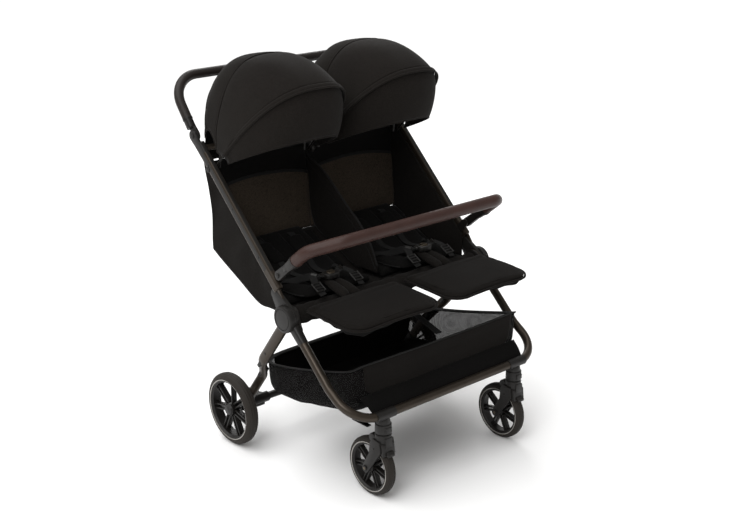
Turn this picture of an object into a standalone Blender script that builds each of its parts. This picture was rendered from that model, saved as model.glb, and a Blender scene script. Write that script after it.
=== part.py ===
"""Side-by-side twin stroller with a folding frame, two reclining seats and two folding canopies.

Metres, +Z up. The stroller faces -Y, X runs across it, and the ground is z = 0. The origin lies
on the ground below the middle of its length and width. Left and right are the pusher's own.
"""

import math

import bmesh
import bpy
from mathutils import Matrix, Vector

# Driving dimensions
HALF_WIDTH = 0.375          # to the outer face of the rear wheels and the hub caps
HUB_Y = -0.116              # main folding hub
HUB_Z = 0.464
REAR_WHEEL_RADIUS = 0.106
FRONT_WHEEL_RADIUS = 0.082
REAR_AXLE_Y = 0.153
FRONT_AXLE_Y = -0.332
CASTER_X = 0.249
CASTER_TRAIL = 0.042
RAIL_ANGLE = 44.0           # slope of the side rails, degrees
HANDLE_PIVOT = (0.404, 0.417)    # from the hub: back, up
CANOPY_PIVOT = (0.334, 0.336)    # from the hub: back, up

# Tubes and clearances
GAP = 0.0005
TUBE_X = 0.350              # centre plane of the side tubes
LEG_RADIUS = 0.012
REAR_LEG_RADIUS = 0.011
RAIL_THICK = 0.018
RAIL_DEEP = 0.028
HANDLE_RADIUS = 0.0135
BUMPER_RADIUS = 0.0175
CROSS_TUBE_RADIUS = 0.009
AXLE_RADIUS = 0.005
PIN_RADIUS = 0.006

# Fabric
SLING_THICK = 0.004
PAD_THICK = 0.022
PANEL_X = 0.334             # inner face of the side panels
PAD_OUTER = 0.330
PAD_INNER = 0.011
SEAT_X = 0.174              # middle of each seat and canopy
CANOPY_THICK = 0.003
ROLL_RADIUS = 0.026         # padded roll along the seat's front edge

SIDES = (("right", -1), ("left", 1))

for old in list(bpy.data.objects):
    bpy.data.objects.remove(old, do_unlink=True)

parts = bpy.data.collections.new("twin_stroller")
cutters = bpy.data.collections.new("cutters")
bpy.context.scene.collection.children.link(parts)
bpy.context.scene.collection.children.link(cutters)


def make_material(name, colour, roughness, metallic=0.0):
    """A Principled material with one colour."""
    found = bpy.data.materials.new(name)
    found.use_nodes = True
    shader = found.node_tree.nodes["Principled BSDF"]
    shader.inputs["Base Color"].default_value = (*colour, 1.0)
    shader.inputs["Roughness"].default_value = roughness
    shader.inputs["Metallic"].default_value = metallic
    return found


BRONZE = make_material("bronze_tube", (0.085, 0.073, 0.063), 0.38, 0.6)
PLASTIC = make_material("dark_plastic", (0.030, 0.028, 0.026), 0.5)
RUBBER = make_material("tyre_rubber", (0.050, 0.044, 0.038), 0.75)
CLOTH = make_material("charcoal_cloth", (0.020, 0.019, 0.019), 0.95)
MESH_CLOTH = make_material("mesh_cloth", (0.032, 0.027, 0.023), 0.95)
GRIP = make_material("grip_leather", (0.030, 0.025, 0.023), 0.55)
LEATHER = make_material("brown_leather", (0.085, 0.052, 0.043), 0.5)


def from_hub(back, up):
    """A point (y, z) measured from the folding hub."""
    return HUB_Y + back, HUB_Z + up


def turn(point, degrees, distance):
    """The point at a distance and a direction (0 is back, 90 is up) from a point (y, z)."""
    angle = math.radians(degrees)
    return point[0] + distance * math.cos(angle), point[1] + distance * math.sin(angle)


def add(name, data, material, collection=parts):
    """Links a new object that holds the given mesh or curve."""
    made = bpy.data.objects.new(name, data)
    made.data.materials.append(material)
    collection.objects.link(made)
    return made


def from_bmesh(name, shape, material, smooth=False):
    """Turns a bmesh into an object."""
    mesh = bpy.data.meshes.new(name)
    shape.to_mesh(mesh)
    shape.free()
    if smooth:
        mesh.shade_smooth()
        mesh.set_sharp_from_angle(angle=math.radians(35))
    return add(name, mesh, material)


def box(name, low, high, material, bevel=0.0, tilt=0.0):
    """A box between two corners, its edges bevelled, tilted about its middle on the X axis."""
    shape = bmesh.new()
    size = [b - a for a, b in zip(low, high)]
    middle = Vector([(a + b) / 2 for a, b in zip(low, high)])
    spread = Matrix.Diagonal((*size, 1.0))
    place = Matrix.Translation(middle) @ Matrix.Rotation(math.radians(tilt), 4, "X")
    bmesh.ops.create_cube(shape, size=1.0, matrix=place @ spread)
    made = from_bmesh(name, shape, material)
    if bevel:
        edge = made.modifiers.new("edges", "BEVEL")
        edge.width = bevel
        edge.segments = 2
    return made


def rod(name, start, end, radius, material, segments=24, end_radius=None):
    """A solid cylinder or cone between two points."""
    start = Vector(start)
    end = Vector(end)
    along = end - start
    place = Matrix.Translation((start + end) / 2) @ along.to_track_quat("Z", "Y").to_matrix().to_4x4()
    shape = bmesh.new()
    bmesh.ops.create_cone(
        shape,
        cap_ends=True,
        segments=segments,
        radius1=radius,
        radius2=radius if end_radius is None else end_radius,
        depth=along.length,
        matrix=place,
    )
    return from_bmesh(name, shape, material, smooth=True)


def plate(name, outline, inner, outer, material):
    """A flat outline of (y, z) points, standing between two values of x."""
    curve = bpy.data.curves.new(name, "CURVE")
    curve.dimensions = "2D"
    curve.fill_mode = "BOTH"
    curve.extrude = abs(outer - inner) / 2
    line = curve.splines.new("POLY")
    line.points.add(len(outline) - 1)
    for point, (y, z) in zip(line.points, outline):
        point.co = (y, z, 0.0, 1.0)
    line.use_cyclic_u = True
    made = add(name, curve, material)
    made.matrix_world = Matrix(
        ((0, 0, 1, (inner + outer) / 2), (1, 0, 0, 0), (0, 1, 0, 0), (0, 0, 0, 1))
    )
    return made


def tube(name, points, radius, material, resolution=2):
    """A round bar along a list of points."""
    curve = bpy.data.curves.new(name, "CURVE")
    curve.dimensions = "3D"
    curve.bevel_depth = radius
    curve.bevel_resolution = resolution
    curve.use_fill_caps = True
    line = curve.splines.new("POLY")
    line.points.add(len(points) - 1)
    for point, place in zip(line.points, points):
        point.co = (*place, 1.0)
    return add(name, curve, material)


def as_mesh(curve_object):
    """Replaces a curve object by a closed mesh object of the same name and place."""
    bpy.context.view_layer.update()
    graph = bpy.context.evaluated_depsgraph_get()
    mesh = bpy.data.meshes.new_from_object(curve_object.evaluated_get(graph))
    shape = bmesh.new()
    shape.from_mesh(mesh)
    bmesh.ops.remove_doubles(shape, verts=shape.verts, dist=0.00001)
    shape.to_mesh(mesh)
    shape.free()
    name = curve_object.name
    place = curve_object.matrix_world.copy()
    bpy.data.objects.remove(curve_object, do_unlink=True)
    made = bpy.data.objects.new(name, mesh)
    made.matrix_world = place
    parts.objects.link(made)
    return made


def combine(base, tools, operation):
    """Boolean modifiers that join the tools to the base, or cut them from it."""
    if base.type == "CURVE":
        base = as_mesh(base)
    for tool in tools:
        if tool.type == "CURVE":
            tool = as_mesh(tool)
        parts.objects.unlink(tool)
        cutters.objects.link(tool)
        tool.hide_render = True
        tool.display_type = "WIRE"
        step = base.modifiers.new(operation.lower(), "BOOLEAN")
        step.operation = operation
        step.object = tool
    return base


def join(base, *tools):
    return combine(base, tools, "UNION")


def cut(base, *tools):
    return combine(base, tools, "DIFFERENCE")


def rounded(points, radius, steps=4):
    """The path through the points with each inner corner turned into an arc."""
    points = [Vector(p) for p in points]
    path = [points[0]]
    for before, corner, after in zip(points, points[1:], points[2:]):
        to_before = (before - corner).normalized()
        to_after = (after - corner).normalized()
        half = to_before.angle(to_after) / 2
        reach = radius / math.tan(half)
        middle = corner + (to_before + to_after).normalized() * (radius / math.sin(half))
        first = corner + to_before * reach - middle
        last = corner + to_after * reach - middle
        sweep = first.angle(last)
        for step in range(steps + 1):
            part = step / steps
            blend = math.sin((1 - part) * sweep) * first + math.sin(part * sweep) * last
            path.append(middle + blend / math.sin(sweep))
    path.append(points[-1])
    return path


def turned(name, profile, centre, material, steps=24, closed=True):
    """A ring or disc turned about the X axis from (radius, x) points, outer side first, +x to -x."""
    mesh = bpy.data.meshes.new(name)
    count = len(profile)
    edges = [(i, i + 1) for i in range(count - 1)]
    if closed:
        edges.append((count - 1, 0))
    mesh.from_pydata([(radius, 0.0, along) for radius, along in profile], edges, [])
    made = add(name, mesh, material)
    made.matrix_world = Matrix(
        ((0, 0, 1, centre[0]), (1, 0, 0, centre[1]), (0, 1, 0, centre[2]), (0, 0, 0, 1))
    )
    screw = made.modifiers.new("turn", "SCREW")
    screw.axis = "Z"
    screw.steps = steps
    screw.render_steps = steps
    screw.use_merge_vertices = True
    screw.merge_threshold = 0.00001
    screw.use_smooth_shade = True
    return made


def arm_outline(start, end, start_radius, end_radius, steps=4):
    """A bar with round ends, as (y, z) points."""
    direction = math.atan2(end[1] - start[1], end[0] - start[0])
    outline = []
    for centre, radius, turned_by in ((end, end_radius, -90), (start, start_radius, 90)):
        for step in range(steps + 1):
            angle = direction + math.radians(turned_by + 180 * step / steps)
            outline.append((centre[0] + radius * math.cos(angle), centre[1] + radius * math.sin(angle)))
    return outline


def hub_disc(name, side, inner, outer, radius, material):
    """A disc about the hub axis, between two distances from the middle."""
    y, z = from_hub(0, 0)
    return rod(name, (side * inner, y, z), (side * outer, y, z), radius, material)


# Hub: layers outwards are the front leg's housing, the rear leg's plate, the rail's plate, the cap
HUB_RADIUS = 0.033
HOUSING_LAYER = (0.3360, 0.3425)
REAR_LAYER = (0.3430, 0.3490)
RAIL_LAYER = (0.3495, 0.3555)
CAP_LAYER = (0.3563, HALF_WIDTH)
CAP_RADIUS = 0.0375
LEG_START = 0.045           # the legs begin this far from the hub's axis
BORE_CLEARANCE = 0.0003
BORE_RADIUS = PIN_RADIUS + BORE_CLEARANCE

FRONT_LEG_ANGLE = 223.6
REAR_LEG_ANGLE = math.degrees(math.atan2(REAR_WHEEL_RADIUS - HUB_Z, REAR_AXLE_Y - HUB_Y))

CROSSBAR = (-0.380, 0.248)       # y, z of the front crossbar
LEG_BEND = (-0.277, 0.313)       # y, z where the front legs flatten
FRONT_CORNER_RADIUS = 0.085


def hub_bore(name, side):
    y, z = from_hub(0, 0)
    return rod(
        name,
        (side * (REAR_LAYER[0] - 0.002), y, z),
        (side * (RAIL_LAYER[1] + 0.002), y, z),
        BORE_RADIUS,
        PLASTIC,
    )


def front_leg_frame():
    """One bent tube: down both legs and across the front."""
    top = turn(from_hub(0, 0), FRONT_LEG_ANGLE, LEG_START)
    half = [(TUBE_X, top[0], top[1]), (TUBE_X, *LEG_BEND), (TUBE_X, *CROSSBAR)]
    other = [(-x, y, z) for x, y, z in reversed(half)]
    path = rounded(half + other, FRONT_CORNER_RADIUS, 5)
    tube("front_leg_frame", path, LEG_RADIUS, BRONZE, 3)


def hub_housing(word, side):
    """The disc that carries the hub pin, with a tongue towards the front leg."""
    y, z = from_hub(0, 0)
    disc = hub_disc(f"hub_housing_{word}", side, *HOUSING_LAYER, HUB_RADIUS, PLASTIC)
    pin = rod(
        f"hub_pin_{word}",
        (side * (HOUSING_LAYER[1] - 0.002), y, z),
        (side * (RAIL_LAYER[1] + 0.0003), y, z),
        PIN_RADIUS,
        BRONZE,
    )
    end = turn((y, z), FRONT_LEG_ANGLE, LEG_START - GAP - 0.010)
    tongue = plate(
        f"hub_tongue_{word}",
        arm_outline((y, z), end, 0.010, 0.010),
        side * HOUSING_LAYER[0],
        side * HOUSING_LAYER[1],
        PLASTIC,
    )
    join(disc, pin, tongue)


def hub_cap(word, side):
    y, z = from_hub(0, 0)
    width = CAP_LAYER[1] - CAP_LAYER[0]
    cap = rod(
        f"hub_cap_{word}",
        (side * CAP_LAYER[0], y, z),
        (side * CAP_LAYER[1], y, z),
        CAP_RADIUS,
        PLASTIC,
        28,
    )
    edge = cap.modifiers.new("edges", "BEVEL")
    edge.width = width * 0.35
    edge.segments = 2
    edge.limit_method = "ANGLE"


# Casters
STEM_Y = FRONT_AXLE_Y - CASTER_TRAIL
SOCKET_RADIUS = 0.0225
SOCKET_BOTTOM = 0.195
STEM_RADIUS = 0.008
STEM_BOTTOM = 0.1655
STEM_CLEARANCE = 0.0004
FORK_TOP = SOCKET_BOTTOM - 0.0015
FORK_BOTTOM = 0.134
WHEEL_CLEARANCE = 0.004
FRONT_TYRE_HALF = 0.017
FORK_INNER = 0.0198              # half the gap between the fork's arms
FORK_ARM = 0.006


def caster_socket(word, side):
    """The cylinder below the crossbar, saddled on the tube, with the caster's stem."""
    x = side * CASTER_X
    socket = rod(
        f"caster_socket_{word}",
        (x, STEM_Y, SOCKET_BOTTOM),
        (x, STEM_Y, CROSSBAR[1]),
        SOCKET_RADIUS,
        PLASTIC,
    )
    stem = rod(
        f"caster_stem_{word}",
        (x, STEM_Y, STEM_BOTTOM),
        (x, STEM_Y, SOCKET_BOTTOM + 0.004),
        STEM_RADIUS,
        BRONZE,
    )
    socket = join(socket, stem)
    saddle = rod(
        f"saddle_{word}", (x - 0.04, *CROSSBAR), (x + 0.04, *CROSSBAR), LEG_RADIUS + 0.001, PLASTIC
    )
    cut(socket, saddle)


def caster_fork(word, side):
    """The turning housing with its two arms and the front axle."""
    x = side * CASTER_X
    axle = (FRONT_AXLE_Y, FRONT_WHEEL_RADIUS)
    fork = rod(
        f"caster_fork_{word}", (x, STEM_Y, FORK_BOTTOM), (x, STEM_Y, FORK_TOP), SOCKET_RADIUS, PLASTIC
    )
    clear = FRONT_WHEEL_RADIUS + WHEEL_CLEARANCE
    wheel_space = rod(
        f"wheel_space_{word}", (x - FORK_INNER, *axle), (x + FORK_INNER, *axle), clear, PLASTIC, 32
    )
    bore = rod(
        f"stem_bore_{word}",
        (x, STEM_Y, STEM_BOTTOM - 0.0015),
        (x, STEM_Y, FORK_TOP + 0.004),
        STEM_RADIUS + STEM_CLEARANCE,
        PLASTIC,
    )
    fork = cut(fork, wheel_space, bore)
    outline = [turn(axle, 200 + 30 * step, 0.0125) for step in range(7)]
    outline += [
        (STEM_Y + 0.022, 0.150),
        (STEM_Y + 0.012, 0.178),
        (STEM_Y - 0.008, 0.178),
        (STEM_Y - 0.014, 0.143),
    ]
    arms = []
    for end in (-1, 1):
        inner = x + end * FORK_INNER
        outer = x + end * (FORK_INNER + FORK_ARM)
        arms.append(
            plate(f"fork_arm_{word}_{end}", outline, min(inner, outer), max(inner, outer), PLASTIC)
        )
    reach = FORK_INNER + FORK_ARM - 0.001
    pin = rod(f"front_axle_{word}", (x - reach, *axle), (x + reach, *axle), 0.004, BRONZE, 16)
    join(fork, *arms, pin)


LOCK_TOP = 0.150             # the swivel lock lever's own axis


def swivel_lock(word, side):
    """The small lever at the front of the caster's housing."""
    x = side * CASTER_X
    front = STEM_Y - SOCKET_RADIUS - GAP
    box(
        f"swivel_lock_{word}",
        (x - 0.010, front - 0.012, LOCK_TOP - 0.014),
        (x + 0.010, front, LOCK_TOP),
        PLASTIC,
        0.002,
    )


def wheel(name, word, x, y, radius, half, rim_radius, hub_radius, hub_half, bore):
    """A tyre and its spoked centre, turning about X."""
    shoulder = half * 0.7
    inner = rim_radius
    tyre = [
        (radius, shoulder * 0.5),
        (radius, -shoulder * 0.5),
        (radius - 0.006, -half),
        (inner, -half * 0.85),
        (inner, half * 0.85),
        (radius - 0.006, half),
    ]
    turned(f"{name}_tyre_{word}", tyre, (x, y, radius), RUBBER, 32)
    rim_outer = inner - GAP
    rim = [
        (rim_outer, half * 0.8),
        (rim_outer, -half * 0.8),
        (rim_outer - 0.007, -half * 0.8),
        (rim_outer - 0.007, half * 0.8),
    ]
    centre = turned(f"{name}_wheel_{word}", rim, (x, y, radius), PLASTIC, 32)
    hub = rod(
        f"{name}_hub_{word}", (x - hub_half, y, radius), (x + hub_half, y, radius), hub_radius, PLASTIC
    )
    spokes = []
    count = 7
    for index in range(count):
        angle = 360 / count * index + 90
        near = turn((y, radius), angle, hub_radius - 0.004)
        far = turn((y, radius), angle, rim_outer - 0.003)
        spokes.append(
            plate(
                f"{name}_spoke_{word}_{index}",
                arm_outline(near, far, 0.0045, 0.0040, 1),
                x - half * 0.45,
                x + half * 0.45,
                PLASTIC,
            )
        )
    centre = join(centre, hub, *spokes)
    cut(
        centre,
        rod(f"{name}_bore_{word}", (x - 0.04, y, radius), (x + 0.04, y, radius), bore, PLASTIC, 16),
    )


# Rear legs
REAR_TYRE_HALF = 0.021
REAR_WHEEL_X = HALF_WIDTH - REAR_TYRE_HALF
REAR_LEG_LOW_X = 0.312
KNEE_START = 0.205               # along the leg, from the hub
KNEE_END = 0.290


def rear_leg(word, side):
    """A tube with an inward knee, its hub plate on top and the stub axle at its foot."""
    hub = from_hub(0, 0)
    axle = (REAR_AXLE_Y, REAR_WHEEL_RADIUS)
    start = turn(hub, REAR_LEG_ANGLE, LEG_START)
    knee = turn(hub, REAR_LEG_ANGLE, KNEE_START)
    shin = turn(hub, REAR_LEG_ANGLE, KNEE_END)
    path = rounded(
        [
            (side * TUBE_X, *start),
            (side * TUBE_X, *knee),
            (side * REAR_LEG_LOW_X, *shin),
            (side * REAR_LEG_LOW_X, *axle),
        ],
        0.06,
        3,
    )
    leg = as_mesh(tube(f"rear_leg_{word}", path, REAR_LEG_RADIUS, BRONZE, 3))
    disc = hub_disc(f"rear_plate_{word}", side, *REAR_LAYER, HUB_RADIUS, BRONZE)
    end = turn(hub, REAR_LEG_ANGLE, LEG_START + 0.008)
    tongue = plate(
        f"rear_tongue_{word}",
        arm_outline(hub, end, 0.012, 0.009),
        side * REAR_LAYER[0],
        side * REAR_LAYER[1],
        BRONZE,
    )
    foot_in = side * (REAR_LEG_LOW_X - REAR_LEG_RADIUS)
    foot_out = side * (REAR_LEG_LOW_X + REAR_LEG_RADIUS + 0.002)
    foot = rod(f"rear_foot_{word}", (foot_in, *axle), (foot_out, *axle), 0.017, PLASTIC)
    stub = rod(
        f"rear_stub_{word}",
        (foot_in, *axle),
        (side * (HALF_WIDTH - 0.006), *axle),
        AXLE_RADIUS,
        BRONZE,
        16,
    )
    leg = join(leg, disc, tongue, foot, stub)
    cut(leg, hub_bore(f"rear_bore_{word}", side))


def rear_axle():
    reach = REAR_LEG_LOW_X - REAR_LEG_RADIUS - GAP
    axle = (REAR_AXLE_Y, REAR_WHEEL_RADIUS)
    rod("rear_axle_tube", (-reach, *axle), (reach, *axle), 0.010, BRONZE, 16)


def brake_pedal():
    """A rocker behind the rear axle tube, beside the right wheel."""
    reach = REAR_LEG_LOW_X - REAR_LEG_RADIUS - 0.004
    y, z = REAR_AXLE_Y, REAR_WHEEL_RADIUS
    outline = [
        (y + 0.0112, z - 0.012),
        (y + 0.030, z - 0.010),
        (y + 0.060, z + 0.006),
        (y + 0.060, z + 0.014),
        (y + 0.0112, z + 0.012),
    ]
    plate("brake_pedal", outline, -reach, -reach + 0.062, PLASTIC)


# Rails, handle and the tubes between them
RAIL_START = 0.066               # along the rail from the point beside the hub
PIVOT_RADIUS = 0.013
PIVOT_CLEAR = 0.034              # the tubes end this far from the handle's pivot
HANDLE_ANGLE = 51.8
HANDLE_LENGTH = 0.1825
HANDLE_CORNER = 0.085
HANDLE_LAYER = (0.3420, 0.3500)
RAIL_TOP_LAYER = (0.3505, 0.3585)
CROSS_TUBE_BACK = 0.045          # from the handle's pivot, down along the rail


def rail_point(along):
    """A point on the rail's centre line, measured down from the handle's pivot."""
    return turn(from_hub(*HANDLE_PIVOT), RAIL_ANGLE + 180, along)


RAIL_LENGTH = 0.506


def rail(word, side):
    """The flat side bar with the hub plate below and the handle's pivot plate above."""
    hub = from_hub(0, 0)
    pivot = from_hub(*HANDLE_PIVOT)
    top = rail_point(PIVOT_CLEAR)
    bottom = rail_point(RAIL_LENGTH)
    across = [(TUBE_X - RAIL_THICK / 2) * side, (TUBE_X + RAIL_THICK / 2) * side]
    middle = ((top[0] + bottom[0]) / 2, (top[1] + bottom[1]) / 2)
    length = math.dist(top, bottom)
    bar = box(
        f"rail_{word}",
        (min(across), middle[0] - length / 2, middle[1] - RAIL_DEEP / 2),
        (max(across), middle[0] + length / 2, middle[1] + RAIL_DEEP / 2),
        BRONZE,
        0.005,
        RAIL_ANGLE,
    )
    disc = hub_disc(f"rail_plate_{word}", side, *RAIL_LAYER, HUB_RADIUS, BRONZE)
    low = rail_point(RAIL_LENGTH - 0.012)
    tongue = plate(
        f"rail_tongue_{word}",
        arm_outline(hub, low, 0.014, 0.010),
        side * RAIL_LAYER[0],
        side * RAIL_LAYER[1],
        BRONZE,
    )
    upper = rail_point(PIVOT_CLEAR + 0.008)
    eye = plate(
        f"rail_eye_{word}",
        arm_outline(pivot, upper, PIVOT_RADIUS, 0.010),
        side * RAIL_TOP_LAYER[0],
        side * RAIL_TOP_LAYER[1],
        BRONZE,
    )
    pin = rod(
        f"handle_pin_{word}",
        (side * HANDLE_LAYER[0], *pivot),
        (side * RAIL_TOP_LAYER[1], *pivot),
        AXLE_RADIUS,
        BRONZE,
        16,
    )
    bar = join(bar, disc, tongue, eye, pin)
    cut(bar, hub_bore(f"rail_bore_{word}", side))


def handle_bar():
    """The push bar: one bent tube with a pivot plate at each end."""
    pivot = from_hub(*HANDLE_PIVOT)
    start = turn(pivot, HANDLE_ANGLE, PIVOT_CLEAR)
    top = turn(pivot, HANDLE_ANGLE, HANDLE_LENGTH)
    path = rounded(
        [(TUBE_X, *start), (TUBE_X, *top), (-TUBE_X, *top), (-TUBE_X, *start)], HANDLE_CORNER, 6
    )
    bar = as_mesh(tube("handle_bar", path, HANDLE_RADIUS, GRIP, 3))
    for word, side in SIDES:
        near = turn(pivot, HANDLE_ANGLE, PIVOT_CLEAR + 0.008)
        eye = plate(
            f"handle_eye_{word}",
            arm_outline(pivot, near, PIVOT_RADIUS, 0.010),
            side * HANDLE_LAYER[0],
            side * HANDLE_LAYER[1],
            GRIP,
        )
        bar = join(bar, eye)
    for word, side in SIDES:
        bore = rod(
            f"handle_bore_{word}",
            (side * (HANDLE_LAYER[0] - 0.002), *pivot),
            (side * (HANDLE_LAYER[1] + 0.002), *pivot),
            AXLE_RADIUS + BORE_CLEARANCE,
            GRIP,
            16,
        )
        bar = cut(bar, bore)


LATCH_HALF = 0.045
LATCH_DEEP = 0.022
BUTTON_TRAVEL = 0.004


def fold_latch():
    """The fold release below the middle of the push bar, and its button."""
    pivot = from_hub(*HANDLE_PIVOT)
    inner = HANDLE_LENGTH - HANDLE_RADIUS - GAP
    y, z = turn(pivot, HANDLE_ANGLE, inner - LATCH_DEEP / 2)
    housing = box(
        "fold_latch_housing",
        (-LATCH_HALF, y - LATCH_DEEP / 2, z - 0.012),
        (LATCH_HALF, y + LATCH_DEEP / 2, z + 0.012),
        PLASTIC,
        0.003,
        HANDLE_ANGLE,
    )
    low = turn((y, z), HANDLE_ANGLE + 180, LATCH_DEEP / 2 - BUTTON_TRAVEL - 0.001)
    pocket = box(
        "latch_pocket",
        (-0.0143, low[0] - 0.012, low[1] - 0.0073),
        (0.0143, low[0], low[1] + 0.0073),
        PLASTIC,
    )
    pocket.matrix_world = (
        Matrix.Translation((0, *low))
        @ Matrix.Rotation(math.radians(HANDLE_ANGLE), 4, "X")
        @ Matrix.Translation((0, -low[0], -low[1]))
    )
    cut(housing, pocket)
    button = box(
        "fold_button",
        (-0.014, low[0] - 0.008, low[1] - 0.007),
        (0.014, low[0] - BUTTON_TRAVEL, low[1] + 0.007),
        BRONZE,
    )
    button.matrix_world = pocket.matrix_world.copy()


def cross_tube():
    """Ties the rails together behind the seats and carries the middle canopy mount."""
    y, z = rail_point(CROSS_TUBE_BACK)
    reach = TUBE_X - RAIL_THICK / 2 - GAP
    rod("back_cross_tube", (-reach, y, z), (reach, y, z), CROSS_TUBE_RADIUS, BRONZE, 16)


def canopy_mount():
    """The plate between the two canopies, from the cross tube forward to their pivot."""
    tube_at = rail_point(CROSS_TUBE_BACK)
    pivot = from_hub(*CANOPY_PIVOT)
    away = math.degrees(math.atan2(pivot[1] - tube_at[1], pivot[0] - tube_at[0]))
    start = turn(tube_at, away, CROSS_TUBE_RADIUS + GAP + 0.009)
    plate("canopy_mount_middle", arm_outline(start, pivot, 0.009, 0.011), -0.005, 0.005, PLASTIC)


# Bumper bar
BUMPER_PIVOT = (0.036, 0.109)    # from the hub
BUMPER_ANGLE = 141.0
BUMPER_ARM = 0.093
BUMPER_TOP = (-0.141, 0.229)     # the grip's crossing, from the hub
ARM_LAYER = (0.3425, 0.3575)
MOUNT_LAYER = (0.3365, 0.3405)


def bumper_mount(word, side):
    """A plate from the rail's inner face forward to the bumper bar's pivot."""
    pivot = from_hub(*BUMPER_PIVOT)
    foot = (pivot[0] + 0.022, pivot[1] - 0.023)
    plate(
        f"bumper_mount_{word}",
        arm_outline(foot, pivot, 0.011, 0.012),
        side * MOUNT_LAYER[0],
        side * MOUNT_LAYER[1],
        PLASTIC,
    )


def bumper_arm(word, side):
    pivot = from_hub(*BUMPER_PIVOT)
    end = turn(pivot, BUMPER_ANGLE, BUMPER_ARM - GAP - 0.009)
    plate(
        f"bumper_arm_{word}",
        arm_outline(pivot, end, 0.011, 0.009),
        side * ARM_LAYER[0],
        side * ARM_LAYER[1],
        PLASTIC,
    )


def bumper_bar():
    """The padded bar across the laps."""
    pivot = from_hub(*BUMPER_PIVOT)
    start = turn(pivot, BUMPER_ANGLE, BUMPER_ARM)
    shoulder = turn(pivot, BUMPER_ANGLE, BUMPER_ARM + 0.055)
    top = from_hub(*BUMPER_TOP)
    half = [(TUBE_X, *start), (TUBE_X, *shoulder), (TUBE_X - 0.075, *top)]
    path = rounded(half + [(-x, y, z) for x, y, z in reversed(half)], 0.045, 3)
    tube("bumper_bar", path, BUMPER_RADIUS, LEATHER, 3)


# Seats: the sling's upper face, from the hub (back, up)
SLING_FRONT = (0.044, 0.004)
SLING_BIGHT = (0.150, 0.004)     # where seat pad and back pad meet
SLING_CORNER = (0.341, 0.098)
SLING_SHOULDER = (0.361, 0.301)
SLING_TOP = (0.367, 0.345)
PAD_LIFT = 0.001
PAD_SPLIT = 0.007


def sling_height(back):
    """How high above the hub the sling's upper face lies."""
    share = (back - SLING_BIGHT[0]) / (SLING_CORNER[0] - SLING_BIGHT[0])
    return SLING_BIGHT[1] + max(0.0, share) * (SLING_CORNER[1] - SLING_BIGHT[1])


def seat_sling():
    """The fabric bucket's floor and rear wall, across both seats."""
    upper = [SLING_FRONT, SLING_BIGHT, SLING_CORNER, SLING_SHOULDER, SLING_TOP]
    lower = [
        (SLING_TOP[0] + SLING_THICK, SLING_TOP[1]),
        (SLING_SHOULDER[0] + SLING_THICK, SLING_SHOULDER[1]),
        (SLING_CORNER[0] + SLING_THICK, SLING_CORNER[1] - SLING_THICK),
        (SLING_BIGHT[0] + SLING_THICK * 0.25, SLING_BIGHT[1] - SLING_THICK),
        (SLING_FRONT[0], SLING_FRONT[1] - SLING_THICK),
    ]
    width = PANEL_X - GAP
    plate("seat_sling", [from_hub(*p) for p in upper + lower], -width, width, MESH_CLOTH)


def side_panel(word, side):
    """The fabric wall between the sling and the rail."""
    below_rail = RAIL_DEEP / 2 + 0.004
    top_front = rail_point(RAIL_LENGTH - 0.030)
    top_back = rail_point(CROSS_TUBE_BACK + 0.022)
    drop = below_rail / math.cos(math.radians(RAIL_ANGLE))
    outline = [
        from_hub(SLING_FRONT[0], SLING_FRONT[1]),
        from_hub(0.110, 0.020),
        from_hub(0.218, 0.060),
        from_hub(0.348, 0.118),
        from_hub(0.344, 0.208),
        from_hub(0.362, 0.256),
        from_hub(0.379, 0.312),
        from_hub(0.383, 0.345),
        (top_back[0], top_back[1] - drop),
        (top_front[0], top_front[1] - drop),
        from_hub(SLING_FRONT[0], 0.045),
    ]
    plate(f"side_panel_{word}", outline, side * PANEL_X, side * (PANEL_X + SLING_THICK), CLOTH)


def divider_panel():
    """The padded wall between the two seats."""
    outline = [
        from_hub(0.050, sling_height(0.050) + PAD_LIFT),
        from_hub(SLING_BIGHT[0], SLING_BIGHT[1] + PAD_LIFT),
        from_hub(0.338, sling_height(0.338) + PAD_LIFT),
        from_hub(0.355, 0.301),
        from_hub(0.358, 0.320),
        from_hub(0.270, 0.276),
        from_hub(0.180, 0.204),
        from_hub(0.119, 0.158),
        from_hub(0.075, 0.108),
        from_hub(0.046, 0.052),
    ]
    plate("divider_panel", outline, -0.005, 0.005, CLOTH)


def pad(name, side, start, end):
    """A seat pad lying on the sling between two distances from the hub."""
    rise = sling_height(end) - sling_height(start)
    slope = math.atan2(rise, end - start)
    length = math.hypot(rise, end - start)
    foot = from_hub(start, sling_height(start) + PAD_LIFT)
    low = turn(foot, math.degrees(slope), length / 2)
    middle = turn(low, math.degrees(slope) + 90, PAD_THICK / 2)
    across = (side * PAD_INNER, side * PAD_OUTER)
    box(
        name,
        (min(across), middle[0] - length / 2, middle[1] - PAD_THICK / 2),
        (max(across), middle[0] + length / 2, middle[1] + PAD_THICK / 2),
        CLOTH,
        0.006,
        math.degrees(slope),
    )


def seat_front_roll():
    """The padded roll round the seat's front tube, which turns about the hub's axis."""
    y, z = from_hub(0, 0)
    reach = PANEL_X - 0.001
    rod("seat_front_roll", (-reach, y, z), (reach, y, z), ROLL_RADIUS, CLOTH, 20)


LEG_REST_START = -0.040
LEG_REST_END = -0.246
LEG_REST_LOW = 0.018
LEG_REST_HIGH = 0.040
LEG_REST_OUTER = 0.331
LEG_REST_INNER = 0.016


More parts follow.
